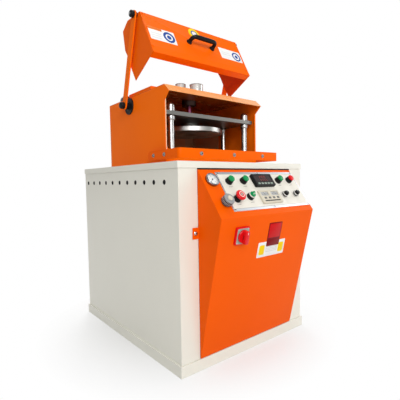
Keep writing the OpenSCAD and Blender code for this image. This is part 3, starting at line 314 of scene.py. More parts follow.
# Painted shade: a darker brown for the clamp disc's shaded underside.
shaded_brown_steel = turned("shaded_brown_steel", (0.44, 0.37, 0.29), 0.36)
# Painted reflection: purple for the orange chamber mirrored in the pour tube.
painted_reflection_steel = metal("painted_reflection_steel", (0.34, 0.10, 0.20), 0.28, 300.0, (1, 1, 0.05), 0.02)
scaled_steel = metal("scaled_steel", (0.14, 0.10, 0.085), 0.50, 260.0)
zinc = metal("zinc", (0.36, 0.40, 0.40), 0.40, 500.0)
bezel_steel = metal("bezel_steel", (0.25, 0.26, 0.28), 0.22, 60.0, depth=0.01, spread=0.04)
dark_rim = metal("dark_rim", (0.17, 0.145, 0.125), 0.36, 300.0)
print("metals made")

# %% [markdown]
# Plastics are moulded against a spark-eroded tool, which leaves a fine grain. Rubber is duller and
# has no coat.

# %% Plastics and rubber
def plastic(name, colour, rough, grain=900.0, depth=0.10, coat=0.0):
    """A moulded plastic, or rubber, with a fine grain."""
    moulded = Finish(name, Coat_Weight=coat, Coat_Roughness=0.08, Specular_IOR_Level=0.22)
    pits = moulded.noise(grain, 2.0)
    cloud = moulded.noise(30.0)
    moulded.set("Base Color", moulded.blend(cloud, shade(colour, 0.93), shade(colour, 1.07)))
    moulded.set("Roughness", pits * 0.10 + (rough - 0.05))
    return moulded.bump(pits, depth, 0.0002)


black_plastic = plastic("black_plastic", (0.008, 0.008, 0.009), 0.36)
black_plastic.set("Specular IOR Level", 0.15)
cord_rubber = plastic("cord_rubber", (0.016, 0.016, 0.017), 0.55, 1400.0, 0.2)
plug_white = plastic("plug_white", (0.80, 0.78, 0.72), 0.40)
green_plastic = plastic("green_plastic", (0.004, 0.26, 0.075), 0.26, coat=0.25)
red_plastic = plastic("red_plastic", (0.70, 0.004, 0.008), 0.28, coat=0.1)
smoke_plastic = plastic("smoke_plastic", (0.13, 0.13, 0.125), 0.30, coat=0.1)
beige_plastic = plastic("beige_plastic", (0.62, 0.57, 0.46), 0.42)
grey_green = plastic("grey_green", (0.30, 0.36, 0.31), 0.34)
pale_grey = plastic("pale_grey", (0.55, 0.56, 0.56), 0.40)
dark_glass = plastic("dark_glass", (0.030, 0.018, 0.020), 0.10, 300.0, 0.02, coat=0.8)
dim_red = plastic("dim_red", (0.30, 0.030, 0.026), 0.30)
dial_white = plastic("dial_white", (0.86, 0.86, 0.84), 0.45)
knob_grey = plastic("knob_grey", (0.30, 0.305, 0.31), 0.34)
hub_red = plastic("hub_red", (0.36, 0.16, 0.14), 0.42)
# Painted shade: black screens for the dark inside of the cabinet behind the vents.
vent_shade_black = plastic("vent_shade_black", (0.008, 0.008, 0.009), 0.60, 700.0, 0.8)
clear_lens = Finish("clear_lens", Roughness=0.03, Alpha=0.12, Coat_Weight=1.0, Coat_Roughness=0.02)
cloud = clear_lens.noise(60.0)
clear_lens.set("Base Color", clear_lens.blend(cloud, (0.90, 0.93, 0.94), (0.96, 0.98, 1.0)))
print("plastics made")

# %% [markdown]
# The small plates are enamelled, which is a smooth skin that shines little here.

# %% Enamel
def enamel(name, colour):
    """A baked enamel, smoother than plastic."""
    glaze = plastic(name, colour, 0.30, 500.0, 0.03)
    return glaze.set("Specular IOR Level", 0.08)


enamel_white = enamel("enamel_white", (0.80, 0.80, 0.79))
enamel_yellow = enamel("enamel_yellow", (0.86, 0.60, 0.0))
enamel_red = enamel("enamel_red", (0.56, 0.004, 0.006))
enamel_dark_red = enamel("enamel_dark_red", (0.20, 0.004, 0.006))
enamel_blue = enamel("enamel_blue", (0.02, 0.07, 0.30))
enamel_orange = enamel("enamel_orange", (0.70, 0.16, 0.01))
print("enamels made")

# %% [markdown]
# The CAD record names a slot for each node, and the finish of that name goes with it.

# %% Finishes by slot
SLOT_FINISH = {finish.name: finish for finish in (
    white_paint, orange_paint, black_plastic, bright_steel, chrome, plate_aluminium, cord_rubber,
    plug_white, green_plastic, red_plastic, smoke_plastic, beige_plastic, black_steel, dark_iron,
    cylinder_aluminium)}
print("slots:", len(SLOT_FINISH))

# %% [markdown]
# The instrument plate is one sheet of aluminium with a cream field printed on it. The field is a
# mask: a Mapping node turns the coordinates into the slope's own, and comparisons cut out the
# rectangle. Ink is no metal, so the mask also drives Metallic. A thin grey line frames the field.

# %% Printed instrument plate
CONSOLE_Y, CONSOLE_TOP, NOSE_OUT, NOSE_DOWN = -417.0, 727.0, 123.0, 169.0
SLOPE_ANGLE = math.degrees(math.atan2(NOSE_DOWN, NOSE_OUT))
FIELD_ACROSS, FIELD_DOWN = (-0.1855, 0.2475), (0.0250, 0.1770)
PLATE_FACE, FRAME_LINE = 0.0015, 0.0015

printed_plate = Finish("printed_plate", Specular_IOR_Level=0.3)
turned_over = printed_plate.add("Mapping", {"vector_type": "TEXTURE"}, {
    "Vector": printed_plate.place, "Location": (0, CONSOLE_Y * MM, CONSOLE_TOP * MM),
    "Rotation": (math.radians(SLOPE_ANGLE), 0, 0)})
across, upwards, raised = printed_plate.parts(turned_over)
down = upwards * -1.0


def printed_field(inset):
    """1 on the printed field, drawn in on all sides by an inset."""
    return (between(across, FIELD_ACROSS[0] + inset, FIELD_ACROSS[1] - inset)
            * between(down, FIELD_DOWN[0] + inset, FIELD_DOWN[1] - inset)
            * (raised > PLATE_FACE))


field = printed_field(0.0)
line = field - printed_field(FRAME_LINE)
brushed = printed_plate.noise(900.0, 3.0, (0.02, 1, 1))
sheet = printed_plate.blend(brushed, (0.66, 0.70, 0.76), (0.84, 0.87, 0.91))
ink = printed_plate.blend(printed_plate.noise(24.0), (0.72, 0.69, 0.61), (0.79, 0.76, 0.68))
printed = printed_plate.blend(field, sheet, ink)
printed_plate.set("Base Color", printed_plate.blend(line, printed, (0.30, 0.31, 0.33)))
printed_plate.set("Metallic", 1.0 - field).set("Roughness", brushed * 0.12 + 0.30)
printed_plate.bump(brushed, 0.05, 0.0003)
print("instrument plate printed")

# %% [markdown]
# ## Carried-over nodes
# A CAD edge is razor sharp, and a real one never is. On painted sheets a Weld modifier joins the
# node's triangles, a Decimate modifier turns each flat into one face, and a Bevel rounds the edges,
# so that each catches a thin line of light. The node's own mesh stays as it is. Some nodes have a
# finish of their own, which is a tone of paint, or a paint with painted light and shade in it.

# %% Paint the nodes
EDGE_RADIUS = 0.0009


def soften(node):
    """Round the edges of a carried-over node without touching its mesh."""
    weld = node.modifiers.new("weld", "WELD")
    weld.merge_threshold = 1e-5
    flats = node.modifiers.new("joined_flats", "DECIMATE")
    flats.decimate_type, flats.angle_limit = "DISSOLVE", math.radians(1)
    bevel = node.modifiers.new("rounded_edges", "BEVEL")
    bevel.width, bevel.segments, bevel.limit_method = EDGE_RADIUS, 2, "ANGLE"
    bevel.angle_limit, bevel.harden_normals = math.radians(40), True


OWN_FINISH = {
    "clamp_disc": turned_steel, "mould_table": turned_steel, "columns": ground_steel,
    "roof_cups": stainless, "instrument_plate": printed_plate, "chamber_roof": roof_orange,
    "console_shell": console_orange, "chamber_shell": lit_chamber_orange,
    "hood_arms": lit_chamber_orange, "hood_shell": hood_orange}
for name, node in NODES.items():
    node.data.materials.clear()
    node.data.materials.append(OWN_FINISH.get(name, SLOT_FINISH[SLOT_OF[name]]).material)
    if SLOT_OF[name] in ("white_paint", "orange_paint"):
        soften(node)
print("painted", len(NODES))

# %% [markdown]
# ## Making a piece
# A new piece is built in a bmesh in millimetres, moved to its seat by a matrix, and scaled to
# metres. The console's slope, its lower face and the hood each have a frame of their own, with Z
# pointing away from the sheet.

# %% Frames and the piece maker
def turn_x(degrees):
    return Matrix.Rotation(math.radians(degrees), 4, "X")


def turn_y(degrees):
    return Matrix.Rotation(math.radians(degrees), 4, "Y")


def turn_z(degrees):
    return Matrix.Rotation(math.radians(degrees), 4, "Z")


def at(x, y, z):
    return Matrix.Translation((x, y, z))


FACE_ANGLE = 90 + math.degrees(math.atan2(NOSE_OUT - 3, CONSOLE_TOP - NOSE_DOWN - 44))
SLOPE = at(0, CONSOLE_Y, CONSOLE_TOP) @ turn_x(SLOPE_ANGLE)
FACE = at(0, CONSOLE_Y - NOSE_OUT, CONSOLE_TOP - NOSE_DOWN) @ turn_x(FACE_ANGLE)


def piece(name, bm, body, finishes, place=Matrix.Identity(4), smooth=30, stands_for=()):
    """Make an object of a bmesh in millimetres, on a CAD body, with a list of finishes."""
    bm.transform(Matrix.Scale(MM, 4) @ place)
    bmesh.ops.recalc_face_normals(bm, faces=bm.faces)
    mesh = bpy.data.meshes.new(name)
    bm.to_mesh(mesh)
    bm.free()
    mesh.shade_smooth()
    mesh.set_sharp_from_angle(angle=math.radians(smooth))
    made = bpy.data.objects.new(name, mesh)
    bpy.context.collection.objects.link(made)
    for finish in finishes:
        mesh.materials.append(finish.material)
    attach(made, body)
    if stands_for:
        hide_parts(*stands_for)
    return made


print("console slope", round(SLOPE_ANGLE, 1), "degrees, face", round(FACE_ANGLE, 1))

# %% [markdown]
# Most fittings here are turned or moulded. A turned part is a profile spun round Z, and a moulded
# one is a block with rounded edges. Parts are joined into one mesh, and each face keeps the number
# of its finish in the piece's list.

# %% Shapes
def lathe(profile, steps=40):
    """Spin a profile of (radius, height) pairs round Z."""
    bm = bmesh.new()
    dots = [bm.verts.new((radius, 0, height)) for radius, height in profile]
    lines = [bm.edges.new(pair) for pair in zip(dots, dots[1:])]
    bmesh.ops.spin(bm, geom=dots + lines, axis=(0, 0, 1), cent=(0, 0, 0), angle=math.tau,
                   steps=steps, use_merge=True)
    bmesh.ops.remove_doubles(bm, verts=bm.verts, dist=0.001)
    return bm


def bevel(bm, edges, width, segments=2):
    """Round some edges, and keep the finish of the faces beside them."""
    bmesh.ops.bevel(bm, geom=edges, offset=width, segments=segments, profile=0.5, affect="EDGES",
                    material=-1)
    return bm


def block(low, high, radius=0.0, segments=2):
    """A box between two corners, with rounded edges."""
    bm = bmesh.new()
    bmesh.ops.create_cube(bm, size=1)
    bmesh.ops.scale(bm, vec=Vector(high) - Vector(low), verts=bm.verts)
    bmesh.ops.translate(bm, vec=(Vector(low) + Vector(high)) / 2, verts=bm.verts)
    return bevel(bm, bm.edges[:], radius, segments) if radius else bm


def plate(low, high, bottom, top, corner=0.0, edge=0.0):
    """A flat box with round corners and a softened upper edge."""
    bm = block((*low, bottom), (*high, top))
    if corner:
        upright = [e for e in bm.edges if abs(e.verts[0].co.z - e.verts[1].co.z) > 0.001]
        bevel(bm, upright, corner, 5)
    if edge:
        rim = [e for e in bm.edges if all(abs(v.co.z - top) < 0.001 for v in e.verts)]
        bevel(bm, rim, edge, 2)
    return bm


def add_to(bm, part, place=None, finish=0):
    """Move a finished part into a larger mesh and give it one of that piece's finishes."""
    if place:
        part.transform(place)
    for face in part.faces:
        face.material_index = max(face.material_index, finish)
    mesh = bpy.data.meshes.new("part")
    part.to_mesh(mesh)
    part.free()
    bm.from_mesh(mesh)
    bpy.data.meshes.remove(mesh)
    return bm


def finish_where(bm, finish, test):
    """Give a finish to the faces whose centre passes a test."""
    for face in bm.faces:
        if test(face.calc_center_median()):
            face.material_index = finish
    return bm


print("shapes ready")

# %% [markdown]
# ## Collars and contact blocks
# A panel button is built round a threaded barrel. Its black collar stands on the plate, and a
# contact block with terminal screws is clipped on behind. Each collar is one turned solid, hollow,
# so that the stem can move in it. All places on the slope are a distance across and a distance
# down, both measured on the sheet.

# %% Button collars
BUTTONS = {"green_button_1": (-146, 60), "green_button_2": (-72, 60), "green_button_3": (132, 61),
           "red_button": (202, 61)}
ESTOP_AT, SELECTOR_AT, REGULATOR_AT, GAUGE_AT = (-150, 137), (-78, 131), (-209, 147), (-222, 52)
KNOBS = {"speed_knob": (123, 131), "time_knob": (194, 131)}


def corners(x, y):
    """The four corners of a rectangle round the origin."""
    return [(-x, -y), (x, -y), (-x, y), (x, y)]


def slope(x, down, z=0.0):
    """A seat on the console's slope: across it, down it and above it."""
    return SLOPE @ at(x, -down, z)


collars = bmesh.new()
for seat in [*BUTTONS.values(), ESTOP_AT, SELECTOR_AT]:
    add_to(collars, lathe([(0, -9), (10.6, -9), (11, -8.6), (11, 2), (15, 2), (15, 4.6),
                           (14.4, 5.2), (13.9, 14), (13.1, 15), (11.6, 15), (10.6, 14.2),
                           (9.6, 13.6), (9.6, -7.6), (0, -7.6)]), slope(*seat))
    add_to(collars, block((-15, -20, -38), (15, 20, -9.2), 1.2), slope(*seat))
    for x, y in corners(8, 14):
        add_to(collars, lathe([(0, 1.2), (3.2, 1.2), (3.4, 0), (0, 0)], 12),
               slope(*seat) @ at(x, y, -37.9) @ turn_x(180), 1)
for seat in KNOBS.values():
    add_to(collars, lathe([(0, -24), (11, -24), (12, -23), (12, -2.1), (4.8, -2), (4.8, 5.4),
                           (4.2, 6), (3.4, 6), (3.4, -20), (0, -20)]), slope(*seat))
add_to(collars, lathe([(0, -50), (20, -50), (21, -49), (21, -30), (20, -29), (20, -3), (19, -2.1),
                       (14.5, -2), (14.5, 3.4), (13.9, 4), (6.6, 4), (6.6, -30), (0, -30)]),
       slope(*REGULATOR_AT))
made = piece("switch_collars", collars, "console", [black_plastic, bright_steel],
             stands_for=["control_bodies"])
print(made.name, len(made.data.polygons))

# %% [markdown]
# ## Push buttons
# The cap is moulded in coloured plastic with a slightly crowned face, and sits on a black stem. The
# crown is one more ring in the turned profile, which is enough for the highlight that a real cap
# shows.

# %% Push buttons
def push_cap():
    """The crowned cap of a push button on its black stem."""
    bm = lathe([(0, -2), (9, -2), (9, 19.2), (12.2, 19.3), (13, 20.1), (13, 24), (12.5, 25.1),
                (11.2, 25.7), (7, 26.5), (0, 26.8)])
    return finish_where(bm, 1, lambda spot: spot.z < 19.2)


for name, seat in BUTTONS.items():
    colour = red_plastic if name == "red_button" else green_plastic
    piece(name + "_cap", push_cap(), name, [colour, black_plastic], slope(*seat),
          stands_for=[name])
print("buttons:", len(BUTTONS))

# %% [markdown]
# ## Emergency stop
# A red mushroom that a palm can find. The underside narrows to the stem, the top is flat with a
# pale turning ring and a small grey-green centre. All of it is one profile, and the rings are
# picked out by their distance to the axis.

# %% Emergency stop
mushroom = lathe([(0, -2), (9, -2), (9, 20.2), (14.5, 20.3), (16.4, 21.6), (19.2, 25), (20, 27),
                  (20, 29.6), (19.2, 31.6), (17, 33.3), (14.2, 34.1), (11.4, 34.3), (9, 34.3),
                  (8.6, 33.9), (5.6, 33.9), (5.2, 34.3), (0, 34.3)])
finish_where(mushroom, 1, lambda spot: spot.z < 20.2)
finish_where(mushroom, 2, lambda spot: spot.z > 34.2 and 9 < spot.xy.length < 11.4)
finish_where(mushroom, 3, lambda spot: spot.z > 33.8 and spot.xy.length < 5.3)
piece("stop_mushroom", mushroom, "estop_button",
      [red_plastic, black_plastic, plug_white, grey_green], slope(*ESTOP_AT),
      stands_for=["estop_button"])
print("stop mushroom made")

# %% [markdown]
# ## Selector
# A lit selector: a white lens ring under a green cap with a bar to grip. The bar starts as a block,
# and its ends are rounded by a wide bevel of the upright edges.

# %% Selector
selector = lathe([(0, -2), (9, -2), (9, 15.2), (12.4, 15.3), (13, 15.9), (13, 18.7), (12.4, 19.3),
                  (0, 19.3)])
finish_where(selector, 1, lambda spot: spot.z < 15.2)
finish_where(selector, 2, lambda spot: spot.z > 15.2)
add_to(selector, lathe([(0, 19.2), (11.6, 19.2), (11.6, 22.2), (11, 23), (9, 23.6), (0, 23.8)]))
add_to(selector, plate((-11.8, -4.4), (11.8, 4.4), 22.5, 28.3, 4.0, 1.2), turn_z(45))
add_to(selector, block((-9, -0.7, 28.1), (1, 0.7, 28.6), 0.2), turn_z(45), 2)
piece("selector_cap", selector, "selector_knob", [green_plastic, black_plastic, plug_white],
      slope(*SELECTOR_AT), stands_for=["selector_knob"])
print("selector made")

# %% [markdown]
# ## Speed and time knobs
# Two small knobs on potentiometer shafts. The skirt carries a pale band, and the grip above it is
# fluted: every side face of the turned grip is inset and pushed in a little, which leaves a rib
# between each two.

# %% Turning knobs
def flute(bm, low, high, thickness, depth, finish=0):
    """Press a groove into every side face between two heights."""
    bm.normal_update()
    sides = [face for face in bm.faces if low < face.calc_center_median().z < high
             and abs(face.normal.z) < 0.4]
    bmesh.ops.inset_individual(bm, faces=sides, thickness=thickness, depth=-depth,
                               use_even_offset=True)
    for face in sides:
        face.material_index = finish
    return bm


for name, seat in KNOBS.items():
    knob = lathe([(0, -15), (3, -15), (3, 6.4), (12.4, 6.3), (13, 6.9), (13, 9.2), (12.2, 9.8),
                  (11.4, 9.9), (11.2, 13.2), (10.2, 13.4), (9.9, 13.6), (8.7, 21.4), (7.9, 22.3),
                  (0, 22.3)])
    finish_where(knob, 1, lambda spot: 9.85 < spot.z < 13.3 and spot.xy.length > 10)
    flute(knob, 14, 21, 0.3, 0.35)
    add_to(knob, block((-0.8, 2.5, 22.1), (0.8, 8.6, 22.9), 0.2), None, 1)
    piece(name + "_grip", knob, name, [black_plastic, satin_silver], slope(*seat),
          stands_for=[name])
print("knobs:", len(KNOBS))

# %% [markdown]
# ## Air regulator knob
# The pressure regulator has a deep grey knob with two rows of flutes, and a cream cap that is
# pulled to unlock it.

# %% Regulator knob
barrel = lathe([(0, -25), (6, -25), (6, 4.4), (18.8, 4.3), (20, 5.4), (20, 15.6), (19, 16.2),
                (20, 16.8), (20, 27), (18.9, 28.3), (0, 28.3)], 26)
for low, high in ((5.5, 15.5), (17, 27)):
    flute(barrel, low, high, 1.2, 1.4, 2)
add_to(barrel, lathe([(0, 28.2), (9.8, 28.2), (10, 29), (9.5, 31.2), (8.4, 32.3), (0, 32.3)], 36),
       None, 1)
piece("regulator_barrel", barrel, "regulator_knob", [knob_grey, beige_plastic, black_plastic],
      slope(*REGULATOR_AT), stands_for=["regulator_knob"])
print("regulator made")

# %% [markdown]
# ## Display
# A speed display in a black bezel. The window is sunk into the top face, the dim red figures behind
# the glass are strokes of a seven-stroke digit, and five keys stand in a row below.

# %% Display
STROKES = {"0": "abcdef", "1": "bc", "2": "abged", "3": "abgcd", "4": "fgbc", "5": "afgcd",
           "6": "afgedc", "8": "abcdefg"}


def sink(bm, low, high, top, depth, finish=0, taper=0.6):
    """Push a rectangular window into a flat top."""
    for axis, value in ((0, low[0]), (0, high[0]), (1, low[1]), (1, high[1])):
        spot, way = Vector(), Vector()
        spot[axis], way[axis] = value, 1
        bmesh.ops.bisect_plane(bm, geom=bm.verts[:] + bm.edges[:] + bm.faces[:], dist=1e-4,
                               plane_co=spot, plane_no=way)
    bm.normal_update()
    inside = [face for face in bm.faces if face.normal.z > 0.9
              and all(abs(face.calc_center_median()[i] * 2 - low[i] - high[i]) < high[i] - low[i]
                      for i in (0, 1)) and abs(face.calc_center_median().z - top) < 0.01]
    bmesh.ops.inset_region(bm, faces=inside, thickness=taper, depth=-depth, use_even_offset=True)
    for face in inside:
        face.material_index = finish
    return bm


def figure(bm, sign, x, y, height, top, finish):
    """One digit of seven strokes, its lower left corner at (x, y)."""
    wide, half, pen = height * 0.55, height / 2, height * 0.11
    spans = {"a": (0, height, wide, height), "g": (0, half, wide, half), "d": (0, 0, wide, 0),
             "f": (0, half, 0, height), "b": (wide, half, wide, height), "e": (0, 0, 0, half),
             "c": (wide, 0, wide, half)}
    for stroke in STROKES[sign]:
        x0, y0, x1, y1 = spans[stroke]
        add_to(bm, block((x + x0 - pen / 2, y + y0 - pen / 2, top - 0.2),
                         (x + x1 + pen / 2, y + y1 + pen / 2, top)), None, finish)


display = plate((-22, -90), (92, -33), 2, 14, 5, 2)
sink(display, (-14, -72), (84, -39), 14, 1.4, 1)
add_to(display, block((-17, -85, -30), (87, -38, 2.1), 1.5))
for row, (signs, height) in enumerate((("1450", 11), ("0360", 8))):
    for i, sign in enumerate(signs):
        figure(display, sign, 12 + i * 11 + row * 6, -54 - row * 13, height, 12.85, 2)
for i in range(5):
    add_to(display, plate((-8 + 18 * i, -83), (4 + 18 * i, -76), 13, 15.2, 1.5, 0.5), None, 3)
piece("speed_display", display, "console", [black_plastic, dark_glass, dim_red, grey_green],
      SLOPE, stands_for=["display_unit"])
print("display made")

# %% [markdown]
# ## Timer
# The timer beside it is beige. Two windows show the edges of its setting wheels, with four keys and
# a slot below.

# %% Timer
timer = plate((-28, -166), (86, -108), 2, 10, 4, 1.4)
for low in (-20, 37):
    sink(timer, (low, -134), (low + 43, -116), 10, 2.4, 1)
sink(timer, (-16, -159), (74, -153), 10, 1.6, 2)
add_to(timer, block((-23, -161, -36), (81, -113, 2.1), 1.5))
for low in (-20, 37):
    for i in range(4):
        left = low + 2.2 + i * 10
        add_to(timer, block((left, -132.6, 7), (left + 8, -117.4, 9.2), 0.8), None, 3)
        figure(timer, "0362"[i] if low < 0 else "1508"[i], left + 2.2, -129, 7, 9.4, 2)
for i in range(4):
    add_to(timer, plate((-12 + 24 * i, -148), (24 * i, -140), 9, 11.4, 1.5, 0.5), None, 1)
piece("process_timer", timer, "console", [beige_plastic, smoke_plastic, black_plastic, pale_grey],
      SLOPE, stands_for=["timer_module"])
print("timer made")

# %% [markdown]
# ## Dial marks
# Each knob turns over a printed scale. Eleven ticks fan out over 270 degrees, with the longest at
# the ends and in the middle. They stand a fifth of a millimetre proud, as thick screen ink does.

# %% Dial marks
def ticks(bm, count, inner, outer, top, first=-135, span=270, long_every=5, pen=0.7, finish=0):
    """A fan of strokes round Z, from one radius to another, with a long one every so often."""
    for i in range(count):
        end = outer if i % long_every == 0 else inner + (outer - inner) * 0.6
        turn = turn_z(-first - span * i / (count - 1))
        add_to(bm, block((-pen / 2, inner, top - 0.2), (pen / 2, end, top)), turn, finish)
    return bm


marks = bmesh.new()
for x, down in KNOBS.values():
    add_to(marks, ticks(bmesh.new(), 11, 15.5, 19.5, 2.2), at(x, -down, 0))
for x, down in [*BUTTONS.values(), SELECTOR_AT, ESTOP_AT]:
    add_to(marks, block((x - 9, -down - 23.4, 2), (x + 9, -down - 22.4, 2.2)))
piece("dial_marks", marks, "console", [black_plastic], SLOPE)
print("dial marks made")

# %% [markdown]
# ## Gauges
# A round pressure gauge: a steel case with a rolled bezel, a white dial set back inside, ticks,
# figures and a thin clear lens. The figures are text, made into a mesh before it is placed. One
# function draws the dial for both gauges.

# %% Gauge faces
def written(signs, height):
    """A bmesh of a few figures, thin and centred."""
    curve = bpy.data.curves.new("figures", "FONT")
    curve.body, curve.size, curve.align_x, curve.align_y = signs, height, "CENTER", "CENTER"
    curve.extrude, curve.resolution_u = 0.1, 2
    holder = bpy.data.objects.new("figures", curve)
    bpy.context.collection.objects.link(holder)
    mesh = holder.to_mesh()
    bm = bmesh.new()
    bm.from_mesh(mesh)
    holder.to_mesh_clear()
    bpy.data.objects.remove(holder)
    bpy.data.curves.remove(curve)
    return bm


def dial(bm, radius, top, numbers, pale, dark, red):
    """A pale disc with 41 ticks, figures at the long ones and a short red mark."""
    inner, outer, middle = radius * 0.80, radius * 0.93, radius * 0.62
    add_to(bm, lathe([(0, top - 1), (radius, top - 1), (radius, top - 0.3), (0, top - 0.3)], 48),
           None, pale)
    ticks(bm, 41, inner, outer, top, long_every=10, pen=radius * 0.022, finish=dark)
    for i, number in enumerate(numbers):
        angle = math.radians(225 - 270 * i / (len(numbers) - 1))
        place = at(middle * math.cos(angle), middle * math.sin(angle), top - 0.15)
        add_to(bm, written(number, radius * 0.26), place, dark)
    add_to(bm, block((-0.6, inner, top - 0.25), (0.6, outer, top + 0.05)), turn_z(-96), red)
    return bm


gauge = lathe([(0, -42), (6.4, -42), (7, -41.4), (7, -26), (23, -26), (24, -25), (24, -0.1),
               (26.5, 0), (26.5, 8.6), (26.2, 9.8), (25.4, 11), (24, 11.8), (22.9, 11.9),
               (22.3, 11.2), (22.3, 5.4), (2.2, 5.4), (2.2, 2), (0, 2)], 56)
dial(gauge, 22, 5.9, ("0", "2", "4", "6", "8"), 1, 2, 3)
made = piece("front_gauge", gauge, "console", [bezel_steel, dial_white, black_plastic, red_plastic],
             slope(*GAUGE_AT), stands_for=["gauge_case"])
lens = lathe([(0, 9.8), (22.2, 9.4), (22.2, 10.2), (0, 10.8)], 48)
piece("front_gauge_lens", lens, "console", [clear_lens], slope(*GAUGE_AT))
needle = lathe([(0, 2.5), (1.4, 2.5), (1.4, 6.6), (3, 6.7), (3, 7.6), (2.4, 8), (0, 8.1)], 20)
hand = block((-7.5, -1.1, 6.9), (17.4, 1.1, 7.5))
for vert in hand.verts:
    if vert.co.x > 0:
        vert.co.y *= 0.25
add_to(needle, hand)
piece("front_gauge_hand", needle, "gauge_needle", [black_plastic],
      slope(*GAUGE_AT) @ turn_z(225), stands_for=["gauge_needle"])
print("front gauge made", len(made.data.polygons))

# %% [markdown]
# ## Air line
# A polished pipe stands on the lid behind the chamber, with a floor flange, a union nut and a gauge
# that looks backwards. Its glossy case and dial reflect the orange sheet beside it.

# %% Air line
PIPE = at(-160, 294, 0)
TOP_GAUGE = 1105
air = lathe([(0, 754), (16, 754), (16.5, 754.5), (16.5, 757), (15.6, 758), (10.5, 758.4),
             (10.5, 1013), (13.4, 1014), (13.75, 1015), (13.75, 1025.4), (13, 1026), (0, 1026)], 32)
add_to(air, lathe([(0, 1068), (7, 1068), (7, 1073), (8.4, 1073.5), (8.4, 1077), (7, 1078),
                   (7, 1083), (0, 1083)], 24))
top_case = lathe([(0, -14), (22, -14), (25.5, -13.2), (26.6, -11), (26.6, 11.4), (26.2, 13),
                  (25, 14), (24.2, 13.8), (23.8, 13), (23.8, 8.2), (0, 8.2)], 48)
finish_where(top_case, 4, lambda spot: True)
dial(top_case, 23.4, 8.8, ("0", "4", "8", "12"), 1, 2, 3)
add_to(top_case, block((-6, -1, 9), (17, 1, 9.8)), turn_z(130), 2)
add_to(top_case, lathe([(0, 8.9), (2.6, 8.9), (2.6, 10), (0, 10.4)], 16), None, 2)
add_to(air, top_case, at(0, 0, TOP_GAUGE) @ turn_x(-90) @ turn_z(180))
piece("air_line", air, "cabinet",
      [polished_pipe, dial_white, black_plastic, red_plastic, bezel_steel], PIPE,
      stands_for=["air_pipe"])
lens = lathe([(0, 12.2), (23.7, 11.8), (23.7, 12.4), (0, 13)], 48)
piece("air_line_lens", lens, "cabinet", [clear_lens],
      PIPE @ at(0, 0, TOP_GAUGE) @ turn_x(-90))
valve = lathe([(0, 1026), (11, 1026), (11, 1066), (10, 1068), (0, 1068)], 24)
for side in (-1, 1):
    add_to(valve, lathe([(0, 1030), (8.4, 1030), (10, 1031.6), (10, 1046), (9.3, 1046.7),
                         (9.3, 1049.3), (10, 1050), (10, 1064.4), (8.6, 1066), (0, 1066)], 24),
           at(side * 12, 0, 0))
    add_to(valve, lathe([(0, 0), (4, 0), (4, 0.7), (3, 1.2), (0, 1.2)], 16),
           at(side * 12, 0, 1065.8), 1)
add_to(valve, lathe([(0, 0), (6, 0), (6, 14), (5.2, 16), (3, 16), (3, 14), (0, 14)], 20),
       at(0, 0, 1040) @ turn_x(-90), 1)
piece("air_valve_body", valve, "cabinet", [black_plastic, bright_steel], PIPE,
      stands_for=["air_valve"])
print("air line made")

# %% [markdown]
# ## Main switch
# A rotary isolator on the console's lower face: a red square surround, a grey-green plate and a
# broad red grip. A slot for a padlock runs through the grip, and the surround has a screw in each
# corner.

# %% Main switch
SWITCH = FACE @ at(-157, -67, 0)
surround = plate((-32, -32), (32, 32), 0, 9, 5, 2)
add_to(surround, plate((-28, -28), (28, 28), 8.6, 9.2, 4, 0.2), None, 1)
add_to(surround, block((-19, -19, -45), (19, 19, 0.1), 1.5), None, 2)
for x, y in corners(24, 24):
    add_to(surround, lathe([(0, 9.1), (2.4, 9.1), (2.2, 9.7), (0, 9.8)], 12), at(x, y, 0), 3)
for turn in (0, 90):
    add_to(surround, block((-0.8, 24.6, 9.1), (0.8, 27.2, 9.35)), turn_z(turn), 3)
piece("switch_surround", surround, "console", [red_plastic, grey_green, black_plastic, pale_grey],
      SWITCH, stands_for=["main_switch_body"])
turn_grip = lathe([(0, -15), (6.6, -15), (6.6, 9.4), (23, 9.3), (24, 10.3), (24, 14.6),
                   (22.6, 16.3), (0, 16.3)], 48)
finish_where(turn_grip, 1, lambda spot: spot.z < 9.25)
add_to(turn_grip, plate((-9, -24), (9, 24), 15, 33.3, 6, 2.4))
add_to(turn_grip, block((-1.2, 12, 32.9), (1.2, 21, 33.5), 0.3), None, 2)
add_to(turn_grip, block((-9.1, -8, 20), (9.1, 8, 24), 1), None, 1)
piece("switch_grip", turn_grip, "main_switch_handle", [red_plastic, black_plastic, plug_white],
      SWITCH, stands_for=["main_switch_handle"])
print("main switch made")

# %% [markdown]
# ## Plates on the console and the hood
# The machine carries five small plates. They stay bare, with plain patches of colour only. Each is
# a thin enamelled plate with round corners, a little proud of the sheet.

# %% Plates
white_plate = plate((-54, -171), (102, -110), 0, 0.6, 3, 0.3)
for x in (-46, 64):
    add_to(white_plate, plate((x, -161), (x + 30, -122), 0.5, 0.8, 6, 0.1), None, 1)
for i in range(4):
    add_to(white_plate, block((-8, -134 - 6 * i, 0.5), (56, -132 - 6 * i, 0.7)), None, 2)
piece("console_white_plate", white_plate, "console", [enamel_white, enamel_yellow, pale_grey],
      FACE)
red_plate = plate((-10, -130), (65, -36), 0, 1.0, 3, 0.3)
add_to(red_plate, plate((-6, -96), (61, -40), 0.9, 1.2, 3, 0.1), None, 1)
add_to(red_plate, plate((-6, -126), (61, -101), 0.9, 1.2, 2, 0.1), None, 2)
piece("console_red_plate", red_plate, "console", [enamel_dark_red, enamel_red, enamel_dark_red],
      FACE)

HOOD_PIVOT = at(0, -44.1, 1384.0)
HOOD_FRONT = HOOD_PIVOT @ turn_x(-27.4) @ at(0, -28, -224) @ turn_x(90)


